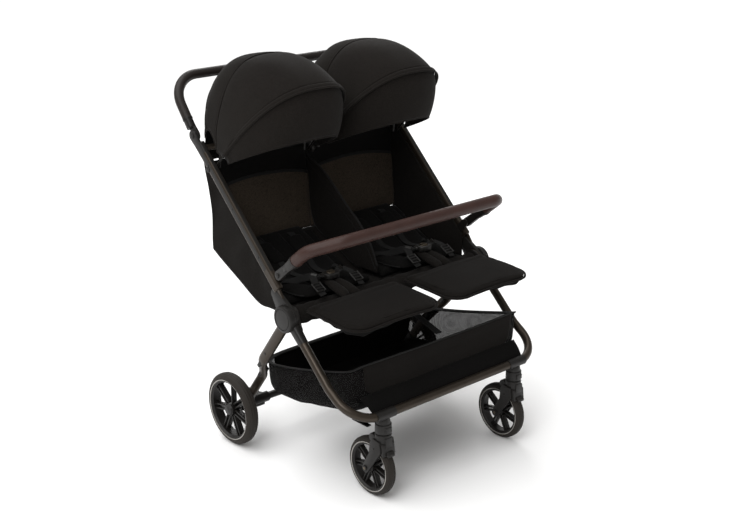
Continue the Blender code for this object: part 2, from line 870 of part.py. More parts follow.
def leg_rest(word, side):
    """A tongue with round front corners, held to the roll by a short neck."""
    corner = 0.045
    steps = 4
    xs = (LEG_REST_INNER, LEG_REST_OUTER)
    outline = [(xs[0], LEG_REST_START), (xs[0], LEG_REST_END + corner)]
    for centre, first in (((xs[0] + corner), 180), ((xs[1] - corner), 270)):
        for step in range(steps + 1):
            angle = math.radians(first + 90 * step / steps)
            outline.append(
                (centre + corner * math.cos(angle), LEG_REST_END + corner + corner * math.sin(angle))
            )
    outline += [(xs[1], LEG_REST_END + corner), (xs[1], LEG_REST_START)]
    unique = [p for i, p in enumerate(outline) if i == 0 or math.dist(p, outline[i - 1]) > 0.0005]
    curve = bpy.data.curves.new(f"leg_rest_{word}", "CURVE")
    curve.dimensions = "2D"
    curve.fill_mode = "BOTH"
    curve.extrude = (LEG_REST_HIGH - LEG_REST_LOW) / 2
    line = curve.splines.new("POLY")
    line.points.add(len(unique) - 1)
    for point, (x, y) in zip(line.points, unique):
        point.co = (side * x, HUB_Y + y, 0.0, 1.0)
    line.use_cyclic_u = True
    made = add(f"leg_rest_{word}", curve, CLOTH)
    made.location.z = HUB_Z + (LEG_REST_LOW + LEG_REST_HIGH) / 2


# Harness buckle on its crotch pad, above the seat pad's front
CROTCH = (-0.052, 0.066, 0.0415, 0.062)   # back from, back to, up from, up to
CROTCH_HALF = 0.032
BUCKLE_BACK = 0.040
BUCKLE_SIZE = (0.024, 0.019, 0.009)      # half sizes


def harness_buckle(word, side):
    """The crotch pad with the buckle on it and a pocket for the release button."""
    x = side * SEAT_X
    low = from_hub(CROTCH[0], CROTCH[2])
    high = from_hub(CROTCH[1], CROTCH[3])
    holder = box(
        f"harness_buckle_{word}", (x - CROTCH_HALF, *low), (x + CROTCH_HALF, *high), CLOTH, 0.007
    )
    half_x, half_y, half_z = BUCKLE_SIZE
    y, z = from_hub(BUCKLE_BACK, CROTCH[3] + half_z - 0.002)
    body = box(
        f"buckle_{word}",
        (x - half_x, y - half_y, z - half_z),
        (x + half_x, y + half_y, z + half_z),
        PLASTIC,
        0.003,
    )
    top = z + half_z
    pocket = box(
        f"button_pocket_{word}",
        (x - 0.0095, y - 0.0085, top - 0.006),
        (x + 0.0095, y + 0.0085, top + 0.004),
        PLASTIC,
    )
    foot_low = from_hub(CROTCH[1] - 0.020, SLING_FRONT[1] + PAD_LIFT + PAD_THICK + GAP)
    foot_high = from_hub(CROTCH[1] - 0.004, CROTCH[2] + 0.010)
    foot = box(f"crotch_strap_{word}", (x - 0.019, *foot_low), (x + 0.019, *foot_high), CLOTH)
    cut(join(holder, body, foot), pocket)
    box(
        f"buckle_button_{word}",
        (x - 0.009, y - 0.008, top - 0.003),
        (x + 0.009, y + 0.008, top + 0.001),
        BRONZE,
    )


# Canopies
BRIM_ANGLE = 135.0
MID_ANGLE = 97.0
REAR_ANGLE = 52.0
BOW_RADIUS = 0.004
ARCH_POWER = 2.7
PROFILE = (
    (54.0, 0.176, 24),
    (66.0, 0.242, 19),
    (81.0, 0.286, 15),
    (97.0, 0.303, 14),
    (109.0, 0.318, 14),
    (122.0, 0.333, 14),
    (135.0, 0.346, 14),
)       # each arch's angle, height and the turn it starts at


def arch(centre_x, half_width, height, angle, turns):
    """Points of one canopy arch, standing on the canopy's pivot axis at an angle."""
    pivot = from_hub(*CANOPY_PIVOT)
    points = []
    for degrees in turns:
        t = math.radians(degrees)
        sideways = math.copysign(abs(math.cos(t)) ** (2 / ARCH_POWER), math.cos(t)) * half_width
        up = abs(math.sin(t)) ** (2 / ARCH_POWER) * height
        y, z = turn(pivot, angle, up)
        points.append((centre_x + sideways, y, z))
    return points


def turns_from(first, steps=10):
    """Evenly spaced turns over an arch, the same distance from both its ends."""
    return [first + (180 - 2 * first) * step / steps for step in range(steps + 1)]


def sheet(name, rows, thick, material):
    """A thin fabric sheet through rows of points."""
    shape = bmesh.new()
    grid = [[shape.verts.new(p) for p in row] for row in rows]
    for near, far in zip(grid, grid[1:]):
        for a, b, c, d in zip(near, near[1:], far[1:], far):
            shape.faces.new((a, b, c, d))
    bmesh.ops.recalc_face_normals(shape, faces=shape.faces)
    made = from_bmesh(name, shape, material, smooth=True)
    wall = made.modifiers.new("wall", "SOLIDIFY")
    wall.thickness = thick
    wall.offset = 0.0
    return made


def canopy_width(angle):
    """Half the canopy's width, a little wider towards its brim."""
    share = max(0.0, min(1.0, (angle - 80.0) / (BRIM_ANGLE - 80.0)))
    return 0.163 + 0.008 * share


def canopy(word, side):
    """The fabric dome, its two moving bows and the visor that hangs from the brim."""
    x = side * SEAT_X
    rows = [
        arch(x, canopy_width(angle), height, angle, turns_from(first))
        for angle, height, first in PROFILE
    ]
    sheet(f"canopy_shell_{word}", rows, CANOPY_THICK, CLOTH)
    inside = CANOPY_THICK / 2 + BOW_RADIUS + 0.0035
    brim_height = PROFILE[-1][1] - inside
    mid_height = PROFILE[3][1] - inside
    bow_turns = [0, *turns_from(14), 180]
    brim = arch(x, canopy_width(BRIM_ANGLE) - inside, brim_height, BRIM_ANGLE - 0.6, bow_turns)
    tube(f"canopy_brim_bow_{word}", brim, BOW_RADIUS, PLASTIC, 1)
    mid = arch(x, canopy_width(MID_ANGLE) - inside - 0.009, mid_height, MID_ANGLE, bow_turns)
    tube(f"canopy_mid_bow_{word}", mid, BOW_RADIUS, PLASTIC, 1)
    visor_rows = []
    for step in range(4):
        share = step / 3
        angle = BRIM_ANGLE + 2.4 + 20.0 * share
        height = brim_height - 0.012 - 0.072 * share
        visor_rows.append(
            arch(x, canopy_width(BRIM_ANGLE) - inside - 0.009, height, angle, turns_from(16))
        )
    sheet(f"visor_{word}", visor_rows, CANOPY_THICK, CLOTH)


# Basket: stations from front to back, each (y, bottom z, top z, bottom half width, top half width)
BASKET = (
    (-0.330, 0.288, 0.375, 0.292, 0.300),
    (-0.296, 0.238, 0.357, 0.305, 0.312),
    (-0.110, 0.190, 0.305, 0.310, 0.316),
    (0.022, 0.170, 0.276, 0.300, 0.310),
    (0.070, 0.176, 0.270, 0.270, 0.285),
)


def storage_basket():
    """The fabric tub below the seats, open on top."""
    shape = bmesh.new()
    rows = []
    for y, bottom, top, low_half, high_half in BASKET:
        section = ((-high_half, top), (-low_half, bottom), (low_half, bottom), (high_half, top))
        rows.append([shape.verts.new((x, y, z)) for x, z in section])
    for near, far in zip(rows, rows[1:]):
        for a, b, c, d in zip(near, near[1:], far[1:], far):
            shape.faces.new((a, b, c, d))
    shape.faces.new(rows[0])
    shape.faces.new(rows[-1])
    bmesh.ops.recalc_face_normals(shape, faces=shape.faces)
    made = from_bmesh("storage_basket", shape, CLOTH)
    wall = made.modifiers.new("wall", "SOLIDIFY")
    wall.thickness = 0.003
    wall.offset = 0.0


def front_strap():
    """The ribbed strap from the seat's front down to the basket, in the middle."""
    start = from_hub(-0.034, -0.022)
    end = (BASKET[0][0] + 0.006, BASKET[0][2] + 0.012)
    plate("front_strap", arm_outline(start, end, 0.0025, 0.0025, 2), -0.012, 0.012, CLOTH)


def build():
    front_leg_frame()
    rear_axle()
    brake_pedal()
    handle_bar()
    fold_latch()
    cross_tube()
    canopy_mount()
    bumper_bar()
    seat_sling()
    divider_panel()
    seat_front_roll()
    storage_basket()
    front_strap()
    for word, side in SIDES:
        hub_housing(word, side)
        hub_cap(word, side)
        caster_socket(word, side)
        caster_fork(word, side)
        swivel_lock(word, side)
        wheel(
            "front",
            word,
            side * CASTER_X,
            FRONT_AXLE_Y,
            FRONT_WHEEL_RADIUS,
            FRONT_TYRE_HALF,
            0.066,
            0.014,
            0.019,
            0.0043,
        )
        wheel(
            "rear",
            word,
            side * REAR_WHEEL_X,
            REAR_AXLE_Y,
            REAR_WHEEL_RADIUS,
            REAR_TYRE_HALF,
            0.086,
            0.018,
            0.018,
            0.0053,
        )
        rear_leg(word, side)
        rail(word, side)
        bumper_mount(word, side)
        bumper_arm(word, side)
        side_panel(word, side)
        pad(f"seat_pad_{word}", side, SLING_FRONT[0] + 0.002, SLING_BIGHT[0] - PAD_SPLIT)
        pad(f"back_pad_{word}", side, SLING_BIGHT[0] + PAD_SPLIT, SLING_CORNER[0] - 0.014)
        leg_rest(word, side)
        harness_buckle(word, side)
        canopy(word, side)


def on_axis(name, place, names, holder=None):
    """An empty on a joint's axis; the named pieces that move with it are its children."""
    made = bpy.data.objects.new(name, None)
    made.location = place
    parts.objects.link(made)
    if holder:
        made.parent = holder
        made.matrix_parent_inverse = Matrix.Translation(-holder.location)
    for child_name in names:
        child = bpy.data.objects[child_name]
        child.parent = made
        child.matrix_parent_inverse = Matrix.Translation(-Vector(place))
    return made


def both(*names):
    """The right and left piece of each name."""
    return [f"{name}_{word}" for name in names for word, side in SIDES]


def pivots():
    """Hangs each moving piece on an empty that stands on its joint's axis."""
    hub = (0.0, *from_hub(0, 0))
    canopy_axis = (0.0, *from_hub(*CANOPY_PIVOT))
    pad_top = SLING_BIGHT[1] + PAD_LIFT + PAD_THICK
    backrest_axis = (0.0, *from_hub(SLING_BIGHT[0], pad_top))
    held_by_rails = ["back_cross_tube", "canopy_mount_middle", "seat_sling", "divider_panel"]
    held_by_rails += both("rail", "hub_cap", "bumper_mount", "side_panel", "seat_pad")
    held_by_rails += both("harness_buckle", "buckle_button", "canopy_shell")
    rails = on_axis("rails_pivot", hub, held_by_rails)
    rear_legs = on_axis("rear_legs_pivot", hub, ["rear_axle_tube", *both("rear_leg")])
    seat_front = on_axis("seat_front_pivot", hub, ["seat_front_roll"])
    on_axis("bumper_pivot", (0.0, *from_hub(*BUMPER_PIVOT)), ["bumper_bar", *both("bumper_arm")], rails)
    handle = ["handle_bar", "fold_latch_housing", "fold_button"]
    on_axis("push_bar_pivot", (0.0, *from_hub(*HANDLE_PIVOT)), handle, rails)
    on_axis("brake_pivot", (0.0, REAR_AXLE_Y, REAR_WHEEL_RADIUS), ["brake_pedal"], rear_legs)
    for word, side in SIDES:
        on_axis(f"leg_rest_pivot_{word}", hub, [f"leg_rest_{word}"], seat_front)
        on_axis(f"backrest_pivot_{word}", backrest_axis, [f"back_pad_{word}"], rails)
        canopy_bow = on_axis(f"canopy_pivot_{word}", canopy_axis, [f"canopy_brim_bow_{word}"], rails)
        on_axis(f"canopy_mid_pivot_{word}", canopy_axis, [f"canopy_mid_bow_{word}"], rails)
        on_axis(f"visor_pivot_{word}", canopy_axis, [f"visor_{word}"], canopy_bow)
        x = side * CASTER_X
        caster = on_axis(f"caster_pivot_{word}", (x, STEM_Y, 0.0), [f"caster_fork_{word}"])
        front_wheel = (x, FRONT_AXLE_Y, FRONT_WHEEL_RADIUS)
        wheel_pieces = [f"front_tyre_{word}", f"front_wheel_{word}"]
        on_axis(f"front_wheel_pivot_{word}", front_wheel, wheel_pieces, caster)
        lock_axis = (x, STEM_Y - SOCKET_RADIUS - GAP, LOCK_TOP)
        on_axis(f"swivel_lock_pivot_{word}", lock_axis, [f"swivel_lock_{word}"], caster)
        rear_wheel = (side * REAR_WHEEL_X, REAR_AXLE_Y, REAR_WHEEL_RADIUS)
        wheel_pieces = [f"rear_tyre_{word}", f"rear_wheel_{word}"]
        on_axis(f"rear_wheel_pivot_{word}", rear_wheel, wheel_pieces, rear_legs)


build()
pivots()
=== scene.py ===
# Side-by-side twin stroller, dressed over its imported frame. Metres, Z up, the stroller faces -Y.
import math

import bmesh
import bpy
from mathutils import Matrix, Vector, noise


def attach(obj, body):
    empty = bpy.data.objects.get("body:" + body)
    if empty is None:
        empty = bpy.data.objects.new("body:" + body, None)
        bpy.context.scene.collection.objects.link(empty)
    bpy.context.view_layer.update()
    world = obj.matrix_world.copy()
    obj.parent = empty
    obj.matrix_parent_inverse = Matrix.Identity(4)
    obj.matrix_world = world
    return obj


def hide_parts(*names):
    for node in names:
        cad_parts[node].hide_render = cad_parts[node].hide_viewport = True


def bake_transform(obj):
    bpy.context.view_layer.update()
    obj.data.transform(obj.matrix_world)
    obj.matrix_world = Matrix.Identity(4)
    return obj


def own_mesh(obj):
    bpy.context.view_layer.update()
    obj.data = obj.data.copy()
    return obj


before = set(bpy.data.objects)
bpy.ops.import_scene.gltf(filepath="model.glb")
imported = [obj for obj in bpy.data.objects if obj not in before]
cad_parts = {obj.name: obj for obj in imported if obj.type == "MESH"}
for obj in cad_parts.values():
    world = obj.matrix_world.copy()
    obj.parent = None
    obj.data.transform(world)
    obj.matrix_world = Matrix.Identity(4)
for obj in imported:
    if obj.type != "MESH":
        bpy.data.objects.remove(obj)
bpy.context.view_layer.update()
scene = bpy.context.scene
sides = (("right", -1), ("left", 1))

# camera at the height of a standing person, in front and to the right of the stroller
cameraSetup = {"place": (-2.193, -2.537, 1.684), "yaw": 41.63, "pitch": 19.27, "lens": 59.44}
eye = bpy.data.cameras.new("camera")
eye.lens = cameraSetup["lens"]
eye.sensor_width = 36
eyeHolder = bpy.data.objects.new("camera", eye)
eyeHolder.location = cameraSetup["place"]
eyeHolder.rotation_euler = (math.radians(90 - cameraSetup["pitch"]), 0, math.radians(-cameraSetup["yaw"]))
scene.collection.objects.link(eyeHolder)
scene.camera = eyeHolder

# points the pieces share with the frame
hub = (-0.116, 0.464)
pushBarPivot = (hub[0] + 0.404, hub[1] + 0.417)
canopyPivot = (hub[0] + 0.334, hub[1] + 0.336)
bumperPivot = (hub[0] + 0.036, hub[1] + 0.109)
railSlope = 44.0
pushBarSlope = 51.8
seatMiddle = 0.174


def fromHub(back, up):
    return hub[0] + back, hub[1] + up


def away(point, degrees, distance):
    angle = math.radians(degrees)
    return point[0] + distance * math.cos(angle), point[1] + distance * math.sin(angle)


def railPoint(along):  # down the rail from the push bar's pivot
    return away(pushBarPivot, railSlope + 180, along)


# ---- node groups

def newGroup(name, inputs, outputs):
    group = bpy.data.node_groups.new(name, "ShaderNodeTree")
    for label, kind, value in inputs:
        socket = group.interface.new_socket(label, in_out="INPUT", socket_type=kind)
        socket.default_value = value
    for label, kind in outputs:
        group.interface.new_socket(label, in_out="OUTPUT", socket_type=kind)
    start = group.nodes.new("NodeGroupInput")
    end = group.nodes.new("NodeGroupOutput")
    return group, start, end


def node(tree, kind, **settings):
    made = tree.nodes.new(kind)
    for key, value in settings.items():
        if key in made.inputs:
            made.inputs[key].default_value = value
        else:
            setattr(made, key, value)
    return made


def mathNode(tree, operation, first, second):
    made = tree.nodes.new("ShaderNodeMath")
    made.operation = operation
    for socket, value in zip(made.inputs, (first, second)):
        if isinstance(value, (int, float)):
            socket.default_value = value
        else:
            tree.links.new(value, socket)
    return made.outputs[0]


def mixColours(tree, factor, first, second):
    made = tree.nodes.new("ShaderNodeMix")
    made.data_type = "RGBA"
    tree.links.new(factor, made.inputs[0])
    for socket, value in ((made.inputs[6], first), (made.inputs[7], second)):
        if isinstance(value, tuple):
            socket.default_value = value
        else:
            tree.links.new(value, socket)
    return made.outputs[2]


def buildWeaveGroup():  # crossed threads with flecks and a slow change in shade
    group, start, end = newGroup(
        "wovenThreads",
        [
            ("Thread", "NodeSocketFloat", 300.0),
            ("Fleck", "NodeSocketFloat", 0.5),
            ("Dark", "NodeSocketColor", (0.01, 0.01, 0.01, 1)),
            ("Light", "NodeSocketColor", (0.03, 0.03, 0.03, 1)),
        ],
        [("Colour", "NodeSocketColor"), ("Height", "NodeSocketFloat")],
    )
    place = node(group, "ShaderNodeTexCoord").outputs["Object"]
    turn = node(group, "ShaderNodeMapping")
    turn.inputs["Rotation"].default_value = (math.radians(38), 0, 0)
    group.links.new(place, turn.inputs["Vector"])
    weft = node(group, "ShaderNodeTexWave", bands_direction="X", Distortion=0.0)
    weft.inputs["Detail Scale"].default_value = 8
    warp = node(group, "ShaderNodeTexWave", bands_direction="Z", Distortion=0.0)
    warp.inputs["Detail Scale"].default_value = 8
    group.links.new(place, weft.inputs["Vector"])
    group.links.new(turn.outputs[0], warp.inputs["Vector"])
    group.links.new(start.outputs["Thread"], weft.inputs["Scale"])
    group.links.new(start.outputs["Thread"], warp.inputs["Scale"])
    height = mathNode(group, "MULTIPLY", weft.outputs["Fac"], warp.outputs["Fac"])
    fleck = node(group, "ShaderNodeTexNoise", Scale=620.0, Detail=3.0, Roughness=0.7)
    slow = node(group, "ShaderNodeTexNoise", Scale=7.0, Detail=2.0)
    group.links.new(place, fleck.inputs["Vector"])
    group.links.new(place, slow.inputs["Vector"])
    spots = mathNode(
        group, "MULTIPLY", mathNode(group, "SUBTRACT", fleck.outputs["Fac"], 0.42), start.outputs["Fleck"]
    )
    shade = mathNode(group, "MULTIPLY", mathNode(group, "SUBTRACT", slow.outputs["Fac"], 0.5), 0.55)
    blend = mathNode(
        group, "ADD",
        mathNode(
            group, "ADD", mathNode(group, "MULTIPLY", height, 0.16), mathNode(group, "MULTIPLY", spots, 5.0)
        ),
        mathNode(group, "ADD", shade, 0.22)
    )
    limited = node(group, "ShaderNodeClamp")
    group.links.new(blend, limited.inputs["Value"])
    group.links.new(
        mixColours(group, limited.outputs[0], start.outputs["Dark"], start.outputs["Light"]),
        end.inputs["Colour"]
    )
    group.links.new(height, end.inputs["Height"])
    return group


def buildGrainGroup():  # pebbled skin with a slow change in shade, for leather and moulded plastic
    group, start, end = newGroup(
        "pebbleGrain",
        [
            ("Grain", "NodeSocketFloat", 700.0),
            ("Dark", "NodeSocketColor", (0.01, 0.01, 0.01, 1)),
            ("Light", "NodeSocketColor", (0.03, 0.03, 0.03, 1)),
            ("Rough", "NodeSocketFloat", 0.5),
        ],
        [("Colour", "NodeSocketColor"), ("Roughness", "NodeSocketFloat"), ("Height", "NodeSocketFloat")],
    )
    place = node(group, "ShaderNodeTexCoord").outputs["Object"]
    cells = node(group, "ShaderNodeTexVoronoi", feature="DISTANCE_TO_EDGE")
    group.links.new(place, cells.inputs["Vector"])
    group.links.new(start.outputs["Grain"], cells.inputs["Scale"])
    slow = node(group, "ShaderNodeTexNoise", Scale=22.0, Detail=4.0, Roughness=0.6)
    group.links.new(place, slow.inputs["Vector"])
    group.links.new(
        mixColours(group, slow.outputs["Fac"], start.outputs["Dark"], start.outputs["Light"]),
        end.inputs["Colour"]
    )
    wander = mathNode(group, "MULTIPLY", mathNode(group, "SUBTRACT", slow.outputs["Fac"], 0.5), 0.22)
    group.links.new(mathNode(group, "ADD", start.outputs["Rough"], wander), end.inputs["Roughness"])
    group.links.new(
        mathNode(group, "MINIMUM", mathNode(group, "MULTIPLY", cells.outputs["Distance"], 4.0), 1.0),
        end.inputs["Height"]
    )
    return group


weaveGroup = buildWeaveGroup()
grainGroup = buildGrainGroup()


def blankMaterial(name):
    made = bpy.data.materials.new(name)
    made.use_nodes = True
    return made, made.node_tree, made.node_tree.nodes["Principled BSDF"]


def addBump(tree, shader, height, strength, distance):
    bump = node(tree, "ShaderNodeBump", Strength=strength, Distance=distance)
    tree.links.new(height, bump.inputs["Height"])
    tree.links.new(bump.outputs[0], shader.inputs["Normal"])


def clothMaterial(name, look):
    made, tree, shader = blankMaterial(name)
    threads = node(tree, "ShaderNodeGroup", node_tree=weaveGroup)
    threads.inputs["Thread"].default_value = look["thread"]
    threads.inputs["Fleck"].default_value = look["fleck"]
    threads.inputs["Dark"].default_value = (*look["dark"], 1)
    threads.inputs["Light"].default_value = (*look["light"], 1)
    tree.links.new(threads.outputs["Colour"], shader.inputs["Base Color"])
    shader.inputs["Roughness"].default_value = 0.92
    shader.inputs["Specular IOR Level"].default_value = look.get("specular", 0.08)
    shader.inputs["Sheen Weight"].default_value = look["sheen"]
    shader.inputs["Sheen Roughness"].default_value = 0.45
    addBump(tree, shader, threads.outputs["Height"], look["bump"], 0.0006)
    if "alpha" in look:
        holes = node(tree, "ShaderNodeTexVoronoi", Scale=look["holes"], Randomness=0.15)
        place = node(tree, "ShaderNodeTexCoord")
        tree.links.new(place.outputs["Object"], holes.inputs["Vector"])
        solid = mathNode(tree, "MULTIPLY", holes.outputs["Distance"], 0.75)
        lift = mathNode(tree, "ADD", solid, look["alpha"])
        limited = node(tree, "ShaderNodeClamp")
        tree.links.new(lift, limited.inputs["Value"])
        tree.links.new(limited.outputs[0], shader.inputs["Alpha"])
    return made


def grainMaterial(name, look):
    made, tree, shader = blankMaterial(name)
    grain = node(tree, "ShaderNodeGroup", node_tree=grainGroup)
    grain.inputs["Grain"].default_value = look["grain"]
    grain.inputs["Rough"].default_value = look["rough"]
    grain.inputs["Dark"].default_value = (*look["dark"], 1)
    grain.inputs["Light"].default_value = (*look["light"], 1)
    tree.links.new(grain.outputs["Colour"], shader.inputs["Base Color"])
    tree.links.new(grain.outputs["Roughness"], shader.inputs["Roughness"])
    shader.inputs["Metallic"].default_value = look.get("metallic", 0)
    shader.inputs["Specular IOR Level"].default_value = look.get("specular", 0.5)
    addBump(tree, shader, grain.outputs["Height"], look["bump"], 0.0004)
    return made


canopyCloth = clothMaterial(
    "canopyCloth",
    {
        "thread": 330, "fleck": 0.9, "dark": (0.0046, 0.0038, 0.0033), "light": (0.0135, 0.0115, 0.0100),
        "sheen": 0.035, "bump": 0.22
    }
)
padCloth = clothMaterial(
    "padCloth",
    {
        "thread": 300, "fleck": 0.5, "dark": (0.0020, 0.0019, 0.0018), "light": (0.0055, 0.0050, 0.0047),
        "sheen": 0.018, "bump": 0.22
    }
)
seatCloth = clothMaterial(
    "seatCloth",
    {
        "thread": 320, "fleck": 0.6, "dark": (0.0036, 0.0030, 0.0026), "light": (0.0105, 0.0090, 0.0079),
        "sheen": 0.028, "bump": 0.22
    }
)
meshCloth = clothMaterial(
    "meshCloth",
    {
        "thread": 160, "fleck": 1.3, "dark": (0.0090, 0.0066, 0.0048), "light": (0.040, 0.031, 0.023),
        "sheen": 0.03, "bump": 0.4
    }
)
netCloth = clothMaterial(
    "netCloth",
    {
        "thread": 140, "fleck": 0.4, "dark": (0.0030, 0.0028, 0.0026), "light": (0.009, 0.0085, 0.008),
        "sheen": 0.02, "bump": 0.3, "alpha": 0.36, "holes": 430
    }
)
webbing = clothMaterial(
    "webbing",
    {
        "thread": 190, "fleck": 0.2, "dark": (0.0020, 0.0019, 0.0018), "light": (0.0060, 0.0056, 0.0052),
        "sheen": 0.012, "bump": 0.5, "specular": 0.3
    }
)
bronze = grainMaterial(
    "bronzeTube",
    {
        "grain": 1900, "rough": 0.36, "dark": (0.030, 0.0235, 0.0175), "light": (0.054, 0.0430, 0.0335),
        "metallic": 0.7, "bump": 0.04, "specular": 0.35
    }
)
plastic = grainMaterial(
    "mouldedPlastic",
    {
        "grain": 1500, "rough": 0.44, "dark": (0.0050, 0.0044, 0.0039), "light": (0.0105, 0.0092, 0.0082),
        "bump": 0.10, "specular": 0.30
    }
)
tyreRubber = grainMaterial(
    "tyreRubber",
    {
        "grain": 1100, "rough": 0.66, "dark": (0.0130, 0.0108, 0.0088), "light": (0.0250, 0.0208, 0.0170),
        "bump": 0.12, "specular": 0.22
    }
)
gripLeather = grainMaterial(
    "gripLeather",
    {
        "grain": 620, "rough": 0.47, "dark": (0.0080, 0.0056, 0.0048), "light": (0.0170, 0.0124, 0.0106),
        "bump": 0.2, "specular": 0.28
    }
)
bumperLeather = grainMaterial(
    "bumperLeather",
    {
        "grain": 620, "rough": 0.46, "dark": (0.0250, 0.0110, 0.0085), "light": (0.0470, 0.0225, 0.0180),
        "bump": 0.2, "specular": 0.24
    }
)
silver = grainMaterial(
    "silverRing",
    {
        "grain": 1900, "rough": 0.30, "dark": (0.34, 0.33, 0.31), "light": (0.48, 0.46, 0.43),
        "metallic": 0.85, "bump": 0.03
    }
)
gunmetal = grainMaterial(
    "gunmetal",
    {
        "grain": 1900, "rough": 0.30, "dark": (0.10, 0.080, 0.058), "light": (0.18, 0.150, 0.112),
        "metallic": 0.9, "bump": 0.03
    }
)
print("materials ready")


# ---- shape tools

def ringEdges(ring):
    return list({edge for vert in ring for edge in vert.link_edges if edge.other_vert(vert) in ring})


def sweep(bm, path, halfWide, halfDeep=None, corners=16, across=None, power=2.0, taper=None, closed=False):
    path = [Vector(p) for p in path]
    halfDeep = halfDeep or halfWide
    ring = {}
    for vert in bmesh.ops.create_circle(bm, cap_ends=False, segments=corners, radius=1.0)["verts"]:
        flat = [math.copysign(abs(c) ** (2 / power), c) for c in (vert.co.x, vert.co.y)]
        ring[vert] = (flat[0] * halfWide, flat[1] * halfDeep)
    firstEdges = ringEdges(ring)
    side = None
    last = len(path) - 1
    for index, point in enumerate(path):
        if closed:
            along = path[(index + 1) % len(path)] - path[index - 1]
        else:
            along = path[min(index + 1, last)] - path[max(index - 1, 0)]
        along.normalize()
        if across is not None:
            side = Vector(across)
        elif side is None:
            side = along.orthogonal()
        side = (side - along * side.dot(along)).normalized()
        up = along.cross(side)
        if index:
            made = bmesh.ops.extrude_edge_only(bm, edges=ringEdges(ring))["geom"]
            moved = {}
            for vert in (item for item in made if isinstance(item, bmesh.types.BMVert)):
                for edge in vert.link_edges:
                    if edge.other_vert(vert) in ring:
                        moved[vert] = ring[edge.other_vert(vert)]
                        break
            ring = moved
        grow = taper(index / last) if taper else 1.0
        for vert, (wide, deep) in ring.items():
            vert.co = point + side * wide * grow + up * deep * grow
    if closed:
        bmesh.ops.bridge_loops(bm, edges=firstEdges + ringEdges(ring))
    else:
        bmesh.ops.contextual_create(bm, geom=firstEdges)
        bmesh.ops.contextual_create(bm, geom=ringEdges(ring))


def roundedPath(points, radius, steps=8):
    points = [Vector(p) for p in points]
    path = [points[0]]
    for before, corner, after in zip(points, points[1:], points[2:]):
        toBefore = (before - corner).normalized()
        toAfter = (after - corner).normalized()
        half = toBefore.angle(toAfter) / 2
        middle = corner + (toBefore + toAfter).normalized() * (radius / math.sin(half))
        first = corner + toBefore * (radius / math.tan(half)) - middle
        end = corner + toAfter * (radius / math.tan(half)) - middle
        turn = first.angle(end)
        for step in range(steps + 1):
            share = step / steps
            path.append(
                middle + (
                    math.sin((1 - share) * turn) * first + math.sin(share * turn) * end
                ) / math.sin(turn)
            )
    path.append(points[-1])
    return path


def smoothPath(points, steps=6):  # a curve through every point
    points = [Vector(p) for p in points]
    ends = [2 * points[0] - points[1]] + points + [2 * points[-1] - points[-2]]
    path = []
    for a, b, c, d in zip(ends, ends[1:], ends[2:], ends[3:]):
        for step in range(steps):
            t = step / steps
            path.append(
                0.5 * (
                    2 * b + (c - a) * t + (
                        2 * a - 5 * b + 4 * c - d
                    ) * t * t + (3 * b - a - 3 * c + d) * t ** 3
                )
            )
    path.append(points[-1])
    return path


def block(bm, centre, size, bevel=0.002, tilt=0.0, turn=0.0, segments=2):
    place = (
        Matrix.Translation(centre)
        @ Matrix.Rotation(math.radians(turn), 4, "Z")
        @ Matrix.Rotation(math.radians(tilt), 4, "X")
        @ Matrix.Diagonal((*size, 1))
    )
    verts = bmesh.ops.create_cube(bm, size=1.0, matrix=place)["verts"]
    edges = list({edge for vert in verts for edge in vert.link_edges})
    bmesh.ops.bevel(bm, geom=edges, offset=bevel, segments=segments, profile=0.5, affect="EDGES", material=-1)


def drum(bm, start, end, radius, endRadius=None, bevel=0.001, segments=32):
    start, end = Vector(start), Vector(end)
    along = end - start
    place = Matrix.Translation((start + end) / 2) @ along.to_track_quat("Z", "Y").to_matrix().to_4x4()
    verts = bmesh.ops.create_cone(
        bm, cap_ends=True, segments=segments, radius1=radius, radius2=radius if endRadius is None else endRadius,
        depth=along.length, matrix=place,
    )["verts"]
    caps = {face for vert in verts for face in vert.link_faces if len(face.verts) == segments}
    edges = list({edge for face in caps for edge in face.edges})
    if bevel:
        bmesh.ops.bevel(bm, geom=edges, offset=bevel, segments=2, profile=0.5, affect="EDGES", material=-1)


def lathe(bm, profile, centre, steps=64, closed=True):  # profile of (x, radius) turned about an X axis
    verts = [bm.verts.new((centre[0] + x, centre[1], centre[2] + radius)) for x, radius in profile]
    pairs = list(zip(verts, verts[1:])) + ([(verts[-1], verts[0])] if closed else [])
    edges = [bm.edges.new(pair) for pair in pairs]
    bmesh.ops.spin(
        bm, geom=verts + edges, cent=centre, axis=(
            1, 0, 0
        ), dvec=(0, 0, 0), angle=math.tau, steps=steps, use_merge=True
    )
    bmesh.ops.remove_doubles(bm, verts=bm.verts, dist=0.000005)


def gridSheet(bm, columns, rows, place):  # a flat grid moved onto place(u, v)
    for vert in bmesh.ops.create_grid(bm, x_segments=columns, y_segments=rows, size=1.0)["verts"]:
        vert.co = place((vert.co.x + 1) / 2, (vert.co.y + 1) / 2)


def slab(bm, outline, push, bevel=0.0015, segments=2):  # a flat outline given a thickness along push
    face = bm.faces.new([bm.verts.new(p) for p in outline])
    made = bmesh.ops.extrude_face_region(bm, geom=[face])["geom"]
    verts = [item for item in made if isinstance(item, bmesh.types.BMVert)]
    bmesh.ops.translate(bm, vec=push, verts=verts)
    whole = set(verts) | set(face.verts)
    if bevel:
        edges = [
            edge for edge in {e for v in whole for e in v.link_edges}
            if len(edge.link_faces) == 2 and edge.calc_face_angle(0) > math.radians(40)
        ]
        bmesh.ops.bevel(
            bm, geom=edges, offset=bevel, segments=segments, profile=0.5, affect="EDGES", material=-1
        )


def yzSlab(bm, outline, inner, outer, bevel=0.0015):  # an outline of (y, z) between two values of x
    slab(bm, [(inner, y, z) for y, z in outline], (outer - inner, 0, 0), bevel)


